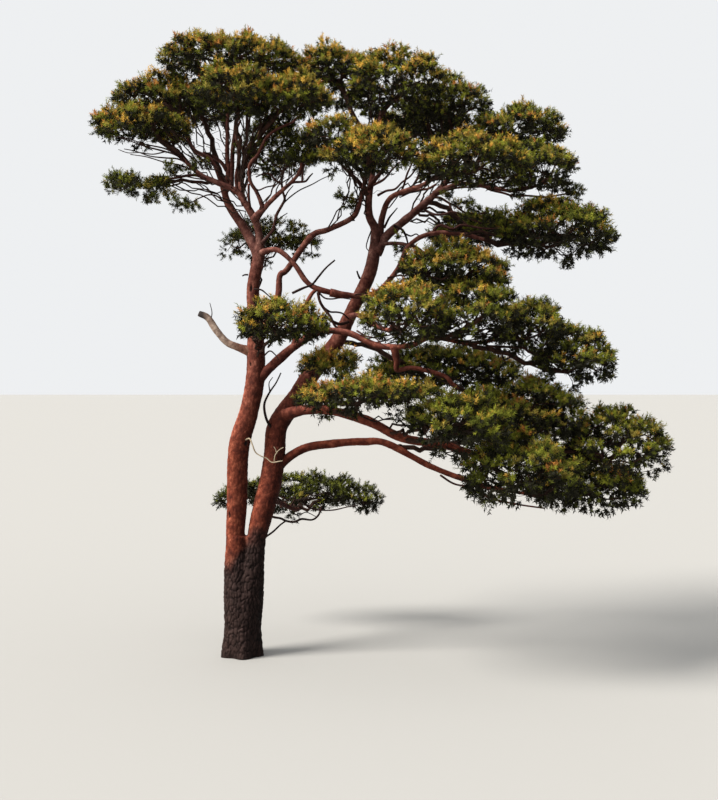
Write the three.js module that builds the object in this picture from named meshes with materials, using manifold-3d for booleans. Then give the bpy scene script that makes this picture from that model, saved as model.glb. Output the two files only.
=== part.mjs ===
// Scots pine with two stems, in millimetres, +Z up.
// The origin is the middle of the flat cut at ground level; the tree leans and reaches towards +X.
import * as THREE from 'three';
import { mergeVertices } from 'three/addons/utils/BufferGeometryUtils.js';
import Module from 'manifold-3d';

const wasm = await Module();
wasm.setup();

// Driving sizes of the trunk; shares are parts of the height to the fork
const forkHeight = 1900;
const forkCentre = 68;
const forkHalfSpread = 150;
const waistRadius = 262;
const groundRadius = 268;
const forkRadius = 164;
const waistShare = 0.5;
const spreadStart = 0.15;
const narrowStart = 0.35;
const leanPower = 1.5;
const flareReach = 90;
const flareHeight = 300;
const rootLobes = 5;
const lobeTurn = 0.6;
const lobeDepth = 0.45;
const trunkSides = 16;
const trunkRings = 9;
const ringCrowding = 1.25;

// Driving sizes of the limbs
const clearance = 0.3;
const wideGap = 1;
const thinLimb = 90;
const thinLimbSides = 5;
const limbSides = 6;
const stemSides = 9;
const shortSpan = 330;

// Driving sizes of the foliage; shares and rises are parts of a mass's half sizes or of a spray's length
const twigSides = 3;
const stemTwigRadius = 24;
const branchRadius = 16;
const branchTipRadius = 9;
const denseBranchEnd = 0.4;
const openBranchEnd = 0.6;
const denseBranchRise = 0.1;
const openBranchRise = [-0.15, 0.05];
const branchLead = 0.25;
const perchShares = [0.6, 0.93];
const hubRise = -0.55;
const hubReach = 0.35;
const hubPull = 0.4;
const coreSides = 6;
const coreRings = [[0.36, -0.3], [0.7, 0.08], [0.4, 0.56]];
const coreWobble = 0.12;
const coreScales = [1, 0.85, 0.7, 0.55];
const sprayPitch = 900;
const fewestSprays = 5;
const mostSprays = 6;
const topShare = 0.4;
const rimScatter = 0.3;
const rimRise = [0.05, 0.4];
const topTurn = 0.5;
const topSprayPlaces = [[0.3, 1], [0.65, 0.8]];
const denseBranches = 2;
const openBranches = 4;
const sprayThickness = 30;
const rootReach = 0.46;
const rootRise = 0.42;
const fanShare = 0.78;
const longestFan = 620;
const toothAngles = [-56, 0, 56];
const notchAngles = [-27, 27];
const notchReach = 0.56;
const shortestTooth = 0.84;
const toothCurl = 0.08;
const thickestAt = 0.36;
const sprayShrinks = [1, 0.8, 0.6];
const widestRoll = 1.2;

// Way-points of each limb: x, y, z and thickness there. The first point lies inside the limb that carries it.
const limbs = {
  left_stem: [[-105, 0, 1900, 300], [-85, 0, 2470, 326], [-40, -50, 3310, 328], [120, -100, 3870, 294],
    [222, -120, 4380, 290], [230, -120, 4930, 272], [190, -100, 5550, 215], [185, -80, 5880, 208],
    [270, -50, 6320, 204]],
  right_stem: [[240, 0, 1900, 310], [330, 0, 2280, 330], [450, 50, 2760, 360], [510, 90, 3200, 350],
    [560, 120, 3660, 325], [870, 180, 4100, 300], [1120, 220, 4520, 280], [1490, 280, 4980, 235],
    [1780, 340, 5560, 212], [2030, 380, 6100, 208], [2130, 400, 6560, 196]],
  left_leader: [[270, -50, 6320, 200], [200, 0, 6500, 180], [0, 100, 6840, 150], [-220, 140, 7170, 128],
    [-290, 150, 7400, 110], [-240, 150, 7670, 90], [-260, 200, 8080, 75], [-240, 120, 8900, 50]],
  right_leader: [[2130, 400, 6560, 190], [2120, 340, 6840, 150], [2030, 240, 7020, 135], [2020, 120, 7310, 118],
    [2100, 150, 7800, 82], [2200, 100, 8600, 50]],
  twin_limb: [[270, -50, 6300, 130], [290, -80, 6560, 130], [240, -150, 6860, 115], [60, -200, 7170, 102],
    [-70, -200, 7350, 98], [-420, -200, 7510, 84], [-650, -150, 7630, 76], [-980, -60, 7930, 58]],
  middle_limb: [[2130, 400, 6500, 105], [2210, 440, 6750, 105], [2240, 400, 7030, 98], [2390, 100, 7310, 85],
    [2850, -350, 7420, 66], [3000, -600, 7490, 55]],
  right_limb: [[2130, 400, 6450, 145], [2270, 420, 6680, 145], [2560, 420, 6940, 132], [2970, 470, 7290, 115],
    [3300, 520, 7640, 95], [3420, 540, 7900, 80], [3800, 580, 8380, 52]],
  dead_snag: [[180, -110, 4820, 120], [-60, -190, 4900, 118], [-226, -200, 4980, 112], [-394, -200, 5170, 110],
    [-520, -200, 5355, 105], [-660, -200, 5425, 92]],
  long_bough: [[222, -120, 4350, 150], [590, -210, 4690, 140], [840, -250, 4900, 132], [1250, -330, 5130, 112],
    [1690, -420, 5110, 100], [2170, -620, 4900, 92], [2630, -900, 4900, 84], [2960, -1060, 5010, 74],
    [3500, -1010, 4930, 62], [3980, -950, 4990, 50]],
  red_bough: [[600, 130, 3800, 170], [1010, -250, 3910, 160], [1430, -500, 3900, 150], [2020, -750, 3740, 146],
    [2520, -900, 3500, 136], [3180, -1000, 3390, 120], [3700, -1080, 3240, 98], [4280, -1000, 3240, 72],
    [4850, -850, 3340, 50]],
  lowest_bough: [[480, 80, 2950, 140], [930, 100, 3260, 134], [1350, 100, 3350, 130], [1940, 80, 3390, 120],
    [2320, 0, 3360, 112], [3040, -100, 2990, 96], [3820, -260, 2720, 74], [4500, -420, 2600, 50]],
  low_back_bough: [[450, 60, 2480, 80], [600, 500, 2350, 72], [800, 1000, 2200, 62], [850, 1400, 2180, 50]],
  rising_bough: [[230, -110, 5000, 105], [560, -170, 5600, 100], [610, -120, 6020, 96], [720, -100, 6120, 95],
    [1010, -100, 6540, 100], [1170, -100, 6700, 92], [1380, -100, 6760, 88], [1740, -150, 6930, 80],
    [1860, -260, 7100, 72], [1950, -700, 7420, 55]],
  crossing_bough: [[260, -60, 6380, 86], [570, -270, 6420, 82], [840, -310, 6200, 80], [1030, -320, 5930, 84],
    [1190, -330, 5810, 88], [1450, -310, 5740, 88]],
  right_bough: [[1410, -314, 5748, 84], [1640, -290, 5712, 87], [2080, -230, 5720, 88], [2460, -180, 6100, 82],
    [2640, -150, 6480, 80], [2960, -150, 6680, 78], [3450, -150, 6690, 70], [3850, -180, 6590, 58]],
  prop_limb: [[840, -250, 4900, 72], [990, -330, 5440, 66], [1110, -340, 5700, 62], [1190, -330, 5790, 60]],
  kinked_bough: [[1700, 320, 5400, 88], [1860, -150, 5400, 86], [2130, -700, 5200, 80], [2320, -950, 5130, 74],
    [2370, -1130, 5200, 66]],
  dropping_bough: [[2400, -780, 4890, 82], [2440, -780, 4650, 80], [2450, -720, 4530, 78], [2700, -720, 4560, 76],
    [3150, -780, 4440, 72], [3320, -820, 4290, 64], [3620, -800, 4150, 50]],
  west_bough: [[-285, 150, 7380, 82], [-400, 30, 7720, 78], [-510, 0, 7900, 74], [-750, 0, 8030, 68],
    [-860, 60, 8220, 58], [-1000, 140, 8600, 46]],
  inner_bough: [[60, -200, 7150, 74], [-20, -110, 7500, 68], [20, 0, 7800, 60], [60, 40, 8050, 52]],
  hooked_bough: [[200, -180, 6900, 86], [370, -300, 7060, 80], [570, -400, 7240, 72], [840, -520, 7460, 58],
    [960, -640, 7600, 48], [1000, -760, 7760, 42]],
  east_bough: [[3080, 480, 7420, 74], [3500, 380, 7570, 68], [3880, 220, 7500, 60], [4260, 60, 7400, 50]],
};

// Masses of needles: the limb that carries each and the way-point it leaves from, its middle, its half sizes,
// and whether it is dense
const masses = {
  crown_top: ['left_leader', 7, [-210, 100, 9550], [1140, 1100, 420], true],
  crown_west: ['west_bough', 5, [-1320, 250, 9020], [800, 800, 420], true],
  west_pad: ['twin_limb', 7, [-1600, -200, 8480], [780, 900, 300], true],
  front_pad: ['inner_bough', 1, [10, -1250, 8770], [660, 700, 380], true],
  front_east_pad: ['inner_bough', 2, [790, -950, 8660], [750, 750, 380], true],
  inner_mass: ['inner_bough', 3, [550, 60, 8150], [680, 600, 550], false],
  hooked_pad: ['hooked_bough', 5, [990, -720, 7970], [330, 340, 190], false],
  dark_mass: ['left_stem', 7, [360, 1200, 6860], [930, 550, 420], false],
  low_west_mass: ['twin_limb', 5, [-1600, -250, 7580], [580, 520, 210], false],
  back_west_pad: ['left_leader', 4, [-1000, 1650, 9250], [750, 750, 400], true],
  upper_back_pad: ['right_leader', 4, [1330, 1000, 9550], [930, 950, 530], true],
  upper_pad: ['right_leader', 5, [2480, 0, 9140], [840, 980, 600], true],
  upper_east_pad: ['right_limb', 4, [3370, 700, 8970], [680, 800, 520], true],
  east_top_pad: ['right_limb', 6, [4460, 600, 8540], [820, 950, 450], true],
  middle_west_pad: ['right_leader', 3, [1530, -1400, 8010], [500, 550, 380], true],
  middle_pad: ['rising_bough', 9, [2021, -1650, 7770], [720, 720, 400], true],
  middle_east_pad: ['middle_limb', 5, [3575, -1100, 7740], [920, 850, 420], true],
  east_pad: ['east_bough', 3, [4750, -250, 7700], [480, 800, 500], true],
  right_pad: ['right_bough', 7, [4980, -300, 6790], [950, 1100, 540], true],
  shelf_pad: ['right_bough', 4, [3290, -1050, 6130], [880, 800, 420], true],
  centre_pad: ['kinked_bough', 4, [2511, -1850, 5380], [640, 850, 550], true],
  centre_east_pad: ['long_bough', 7, [3590, -1500, 5420], [680, 900, 550], true],
  slope_pad: ['long_bough', 9, [4470, -850, 5270], [560, 950, 500], true],
  slope_foot_pad: ['long_bough', 8, [5120, -750, 4800], [660, 950, 520], true],
  near_pad: ['left_stem', 5, [760, -1600, 5290], [710, 700, 400], true],
  small_pad: ['right_stem', 6, [1425, -950, 4722], [500, 450, 260], true],
  dark_back_pad: ['right_stem', 7, [3350, 1600, 4660], [1400, 900, 480], true],
  low_left_pad: ['red_bough', 2, [1912, -2050, 4190], [1010, 780, 340], true],
  low_front_pad: ['red_bough', 4, [3300, -1950, 3840], [820, 850, 520], true],
  low_middle_pad: ['dropping_bough', 6, [4450, -800, 3950], [950, 900, 560], true],
  low_east_pad: ['red_bough', 8, [5780, -750, 3520], [800, 980, 620], true],
  low_skirt_pad: ['red_bough', 6, [4200, -1800, 3170], [950, 800, 560], true],
  lowest_pad: ['lowest_bough', 7, [5400, -550, 2880], [900, 850, 500], true],
  low_back_pad: ['low_back_bough', 3, [813, 2050, 2440], [1600, 560, 400], false],
  back_top_pad: ['right_leader', 4, [2900, 2150, 8950], [950, 780, 460], true],
  back_east_pad: ['right_limb', 3, [3950, 1800, 7100], [950, 850, 340], true],
  back_low_pad: ['lowest_bough', 4, [4300, 1450, 3750], [1250, 850, 520], true],
};

// Colours and finishes
const barkLow = { color: 0x3b2f2b, roughness: 0.95 };
const barkOrange = { color: 0x8a4a35, roughness: 0.85 };
const deadWood = { color: 0x8d8075, roughness: 0.9 };
const needleGreens = [0x4f5a24, 0x5a5f2b, 0x46501f];

// Seeded random numbers, the same on every run
function seeded(seed) {
  let state = seed >>> 0;
  return () => {
    state = (state + 0x6d2b79f5) >>> 0;
    let mixed = Math.imul(state ^ (state >>> 15), 1 | state);
    mixed = (mixed + Math.imul(mixed ^ (mixed >>> 7), 61 | mixed)) ^ mixed;
    return ((mixed ^ (mixed >>> 14)) >>> 0) / 4294967296;
  };
}

function solidOf(positions, triangles) {
  return new wasm.Manifold(new wasm.Mesh({
    numProp: 3,
    vertProperties: new Float32Array(positions),
    triVerts: new Uint32Array(triangles),
  }));
}

// A closed skin over rings of equally many points, first ring to last
function skin(rings) {
  const sides = rings[0].length;
  const positions = rings.flat().flatMap((point) => point.toArray());
  const triangles = [];
  for (let ring = 0; ring + 1 < rings.length; ring += 1) {
    for (let side = 0; side < sides; side += 1) {
      const here = ring * sides + side;
      const next = ring * sides + ((side + 1) % sides);
      triangles.push(here, next, next + sides, here, next + sides, here + sides);
    }
  }
  const last = (rings.length - 1) * sides;
  for (let side = 1; side + 1 < sides; side += 1) {
    triangles.push(0, side + 1, side, last, last + side, last + side + 1);
  }
  return solidOf(positions, triangles);
}

// Points and thicknesses along a limb: a smooth curve through its way-points
function alongLimb(wayPoints) {
  const curve = new THREE.CatmullRomCurve3(wayPoints.map(([x, y, z]) => new THREE.Vector3(x, y, z)),
    false, 'catmullrom', 0.5);
  const stations = [];
  wayPoints.slice(0, -1).forEach(([x, y, z, thickness], span) => {
    const [nextX, nextY, nextZ, nextThickness] = wayPoints[span + 1];
    const steps = Math.hypot(nextX - x, nextY - y, nextZ - z) > shortSpan ? 2 : 1;
    for (let step = 0; step < steps; step += 1) {
      stations.push({
        point: curve.getPoint((span + step / steps) / (wayPoints.length - 1)),
        radius: THREE.MathUtils.lerp(thickness, nextThickness, step / steps) / 2,
      });
    }
  });
  stations.push({ point: curve.getPoint(1), radius: wayPoints.at(-1)[3] / 2 });
  return stations;
}

// Rings set square to a path, turned as little as possible from one to the next
function sweep(stations, sides, extra = 0) {
  const rings = [];
  let across = new THREE.Vector3(0, 1, 0);
  const last = stations.length - 1;
  stations.forEach(({ point, radius }, index) => {
    const ahead = stations[Math.min(index + 1, last)].point.clone();
    const along = ahead.sub(stations[Math.max(index - 1, 0)].point).normalize();
    if (index === 0 && Math.abs(along.y) > 0.9) across.set(1, 0, 0);
    across = across.clone().addScaledVector(along, -across.dot(along)).normalize();
    const up = new THREE.Vector3().crossVectors(along, across);
    const centre = point.clone();
    if (index === 0) centre.addScaledVector(along, -extra);
    if (index === last) centre.addScaledVector(along, extra);
    const reach = radius + extra / Math.cos(Math.PI / sides);
    rings.push(Array.from({ length: sides }, (unused, side) => {
      const turn = (side / sides) * 2 * Math.PI;
      return centre.clone()
        .addScaledVector(across, Math.cos(turn) * reach)
        .addScaledVector(up, Math.sin(turn) * reach);
    }));
  });
  return skin(rings);
}

// The trunk's section widens from a flared, lobed round at the ground to two joined rounds under the fork
function trunkRing(height, extra = 0) {
  const rise = height / forkHeight;
  const spread = forkHalfSpread * THREE.MathUtils.smoothstep(rise, spreadStart, 1);
  const body = THREE.MathUtils.lerp(groundRadius, waistRadius, Math.min(rise / waistShare, 1));
  const radius = THREE.MathUtils.lerp(body, forkRadius, THREE.MathUtils.smoothstep(rise, narrowStart, 1));
  const flare = flareReach * Math.exp(-height / flareHeight);
  const centre = forkCentre * rise ** leanPower;
  return Array.from({ length: trunkSides }, (unused, side) => {
    const turn = (side / trunkSides) * 2 * Math.PI;
    const lobe = 1 - lobeDepth + lobeDepth * Math.cos(rootLobes * turn + lobeTurn);
    const twoRounds = spread * Math.abs(Math.cos(turn))
      + Math.sqrt(Math.max(radius ** 2 - (spread * Math.sin(turn)) ** 2, 0));
    const reach = twoRounds + flare * lobe + extra;
    return new THREE.Vector3(centre + reach * Math.cos(turn), reach * Math.sin(turn), height);
  });
}

function trunkSolid(extra = 0) {
  const rings = [];
  for (let ring = 0; ring <= trunkRings; ring += 1) {
    rings.push(trunkRing(forkHeight * (ring / trunkRings) ** ringCrowding, extra));
  }
  if (extra) rings.push(trunkRing(forkHeight, extra).map((point) => point.setZ(forkHeight + extra)));
  return skin(rings);
}

// The largest closed body of a solid, with sealed hollows filled and scraps dropped
function largestBody(solid) {
  const bodies = solid.decompose();
  return bodies.reduce((best, body) => (body.volume() > best.volume() ? body : best));
}

function boxesMeet(a, b, gap) {
  const first = a.boundingBox();
  const second = b.boundingBox();
  return [0, 1, 2].every((axis) => first.min[axis] - gap < second.max[axis]
    && second.min[axis] - gap < first.max[axis]);
}

// One spray of needles: a toothed blade, thick in the middle, that widens from its root
function spray(root, tip, roll, random) {
  const along = tip.clone().sub(root);
  const length = along.length();
  along.normalize();
  const flat = new THREE.Vector3(-along.y, along.x, 0);
  if (flat.length() < 0.05) flat.set(1, 0, 0);
  flat.normalize().applyAxisAngle(along, roll);
  const normal = new THREE.Vector3().crossVectors(along, flat);
  const fan = Math.min(length * fanShare, longestFan);
  const base = length - fan;
  const at = (x, y, z) => root.clone().addScaledVector(along, x).addScaledVector(flat, y)
    .addScaledVector(normal, z);
  const onFan = (degrees, reach, rise) => {
    const turn = THREE.MathUtils.degToRad(degrees);
    return at(base + fan * reach * Math.cos(turn), fan * reach * Math.sin(turn), rise);
  };
  const outline = [at(0, 0, 0)];
  toothAngles.forEach((angle, index) => {
    const reach = angle ? THREE.MathUtils.lerp(shortestTooth, 1, random()) : 1;
    outline.push(onFan(angle, reach, fan * toothCurl * (2 * random() - 1)));
    if (index < notchAngles.length) outline.push(onFan(notchAngles[index], notchReach, 0));
  });
  const count = outline.length;
  const middle = base + fan * thickestAt;
  const points = [...outline, at(middle, 0, sprayThickness / 2), at(middle, 0, -sprayThickness / 2)];
  const triangles = [];
  for (let corner = 0; corner < count; corner += 1) {
    const next = (corner + 1) % count;
    triangles.push(corner, next, count, next, corner, count + 1);
  }
  return solidOf(points.flatMap((point) => point.toArray()), triangles);
}

function twig(from, to, fromRadius, toRadius) {
  return sweep([{ point: from, radius: fromRadius }, { point: to, radius: toRadius }], twigSides);
}

// The smaller core of a dense mass: a low dome on a flatter underside
function core(middle, half, scale, random) {
  const wobble = Array.from({ length: coreSides }, () => 1 + coreWobble * (2 * random() - 1));
  const rings = coreRings.map(([reach, rise]) => wobble.map((swell, side) => {
    const turn = (side / coreSides) * 2 * Math.PI;
    return new THREE.Vector3(
      middle.x + Math.cos(turn) * half.x * reach * swell * scale,
      middle.y + Math.sin(turn) * half.y * reach * swell * scale,
      middle.z + half.z * rise * scale,
    );
  }));
  return skin(rings);
}

// A mass: one stem to a hub low in its space, branches fanning out from the hub, and sprays that stand
// on them, most round the rim and the rest on the domed top
function growMass(name, seed, blockers) {
  const [limbName, wayPoint, place, size, isDense] = masses[name];
  const random = seeded(seed);
  const middle = new THREE.Vector3(...place);
  const half = new THREE.Vector3(...size);
  const [startX, startY, startZ] = limbs[limbName][wayPoint];
  const start = new THREE.Vector3(startX, startY, startZ);
  const onDome = (turn, reach, rise) => new THREE.Vector3(middle.x + Math.cos(turn) * half.x * reach,
    middle.y + Math.sin(turn) * half.y * reach, middle.z + half.z * rise);
  const startShare = start.clone().sub(middle).divide(half);
  const towards = Math.atan2(startShare.y, startShare.x);
  const hub = onDome(towards, Math.min(hubReach, Math.hypot(startShare.x, startShare.y) * hubPull), hubRise);
  const clear = (piece) => blockers.every((other) => !boxesMeet(piece, other, wideGap)
    || piece.minGap(other, wideGap) >= wideGap);
  const pieces = [twig(start, hub, stemTwigRadius, branchRadius)];
  if (isDense) {
    for (const scale of coreScales) {
      const body = core(middle, half, scale, random);
      if (!clear(body)) continue;
      pieces.push(body);
      break;
    }
  }
  const girth = Math.PI * (half.x + half.y);
  const rimSprays = Math.round(THREE.MathUtils.clamp(girth / sprayPitch, fewestSprays, mostSprays));
  const topSprays = Math.round(rimSprays * topShare);
  const firstTurn = random() * 2 * Math.PI;
  const arms = isDense ? denseBranches : openBranches;
  const perches = [];
  for (let arm = 0; arm < arms; arm += 1) {
    const turn = firstTurn + ((arm + branchLead) / arms) * 2 * Math.PI;
    const branchReach = isDense ? denseBranchEnd : openBranchEnd;
    const branchRise = isDense ? denseBranchRise : THREE.MathUtils.lerp(...openBranchRise, random());
    const end = onDome(turn, branchReach, branchRise);
    const branch = twig(hub, end, branchRadius, branchTipRadius);
    if (!clear(branch)) continue;
    pieces.push(branch);
    perches.push(...perchShares.map((share) => hub.clone().lerp(end, share)));
  }
  if (isDense && !perches.length) pieces.push(twig(hub, middle, branchRadius, branchRadius));
  const addSpray = (turn, reach, rise) => {
    const tip = onDome(turn, reach, rise);
    const inside = onDome(turn, reach * rootReach, rise * rootRise);
    const nearer = (a, b) => (b.distanceTo(tip) < a.distanceTo(tip) ? b : a);
    const root = isDense ? inside : perches.reduce(nearer, hub);
    const roll = (random() - 0.5) * widestRoll;
    for (const shrink of sprayShrinks) {
      const blade = spray(root, root.clone().lerp(tip, shrink), roll, random);
      if (!clear(blade)) continue;
      pieces.push(blade);
      return;
    }
  };
  for (let index = 0; index < rimSprays; index += 1) {
    const turn = firstTurn + ((index + rimScatter * random()) / rimSprays) * 2 * Math.PI;
    addSpray(turn, 1, THREE.MathUtils.lerp(...rimRise, random()));
  }
  for (let index = 0; index < topSprays; index += 1) {
    const [topReach, topRise] = topSprayPlaces[index % topSprayPlaces.length];
    addSpray(firstTurn + (index / topSprays) * 2 * Math.PI + topTurn, topReach, topRise);
  }
  return wasm.Manifold.union(pieces);
}

function meshOf(name, solid, finish) {
  const { vertProperties, triVerts } = solid.getMesh();
  let geometry = new THREE.BufferGeometry();
  geometry.setAttribute('position', new THREE.BufferAttribute(Float32Array.from(vertProperties), 3));
  geometry.setIndex(Array.from(triVerts));
  geometry = mergeVertices(geometry, 1e-3);
  geometry.computeVertexNormals();
  const mesh = new THREE.Mesh(geometry, new THREE.MeshStandardMaterial({ metalness: 0, ...finish }));
  mesh.name = name;
  return mesh;
}

const tree = new THREE.Group();

// The trunk and the limbs, each cut clear of the limbs before it
const solids = { trunk: trunkSolid() };
const grown = { trunk: trunkSolid(clearance) };
for (const [name, wayPoints] of Object.entries(limbs)) {
  const isStem = name.endsWith('_stem');
  const sides = isStem ? stemSides : wayPoints[0][3] < thinLimb ? thinLimbSides : limbSides;
  const stations = alongLimb(wayPoints);
  let solid = sweep(stations, sides);
  for (const other of Object.values(grown)) {
    if (boxesMeet(solid, other, 1)) solid = solid.subtract(other);
  }
  solids[name] = largestBody(solid);
  grown[name] = sweep(stations, sides, clearance);
}

Object.entries(solids).forEach(([name, solid]) => {
  const finish = name === 'trunk' ? barkLow : barkOrange;
  tree.add(meshOf(name, solid, name === 'dead_snag' ? deadWood : finish));
});

// The masses of needles, each clear of every limb and of the masses before it
const grownMasses = [];
Object.keys(masses).forEach((name, index) => {
  const carrier = masses[name][0];
  const limbBlockers = Object.entries(grown).filter(([limb]) => limb !== carrier).map(([, solid]) => solid);
  let solid = growMass(name, index + 1, [...limbBlockers, ...grownMasses]);
  for (const other of Object.values(grown)) {
    if (boxesMeet(solid, other, 1)) solid = solid.subtract(other);
  }
  solid = largestBody(solid);
  grownMasses.push(solid);
  tree.add(meshOf(name, solid, { color: needleGreens[index % needleGreens.length], roughness: 0.8 }));
});

export default tree;
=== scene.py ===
# Scots pine with two stems: bark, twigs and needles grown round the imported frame, in metres.
import math

import bmesh
import bpy
import numpy as np
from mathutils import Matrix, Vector
from mathutils.kdtree import KDTree


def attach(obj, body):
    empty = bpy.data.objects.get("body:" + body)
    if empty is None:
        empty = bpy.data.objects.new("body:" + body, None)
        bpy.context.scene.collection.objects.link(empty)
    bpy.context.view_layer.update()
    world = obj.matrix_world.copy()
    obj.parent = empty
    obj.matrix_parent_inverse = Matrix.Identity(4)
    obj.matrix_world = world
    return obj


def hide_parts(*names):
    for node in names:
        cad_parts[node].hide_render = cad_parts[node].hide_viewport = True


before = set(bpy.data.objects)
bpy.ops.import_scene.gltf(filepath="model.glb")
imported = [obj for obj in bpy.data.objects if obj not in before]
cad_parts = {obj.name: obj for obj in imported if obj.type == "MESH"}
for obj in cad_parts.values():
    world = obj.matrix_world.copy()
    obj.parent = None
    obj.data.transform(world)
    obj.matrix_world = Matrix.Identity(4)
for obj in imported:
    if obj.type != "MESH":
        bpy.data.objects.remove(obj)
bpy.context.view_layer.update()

print("frame loaded:", len(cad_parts), "nodes")

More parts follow.
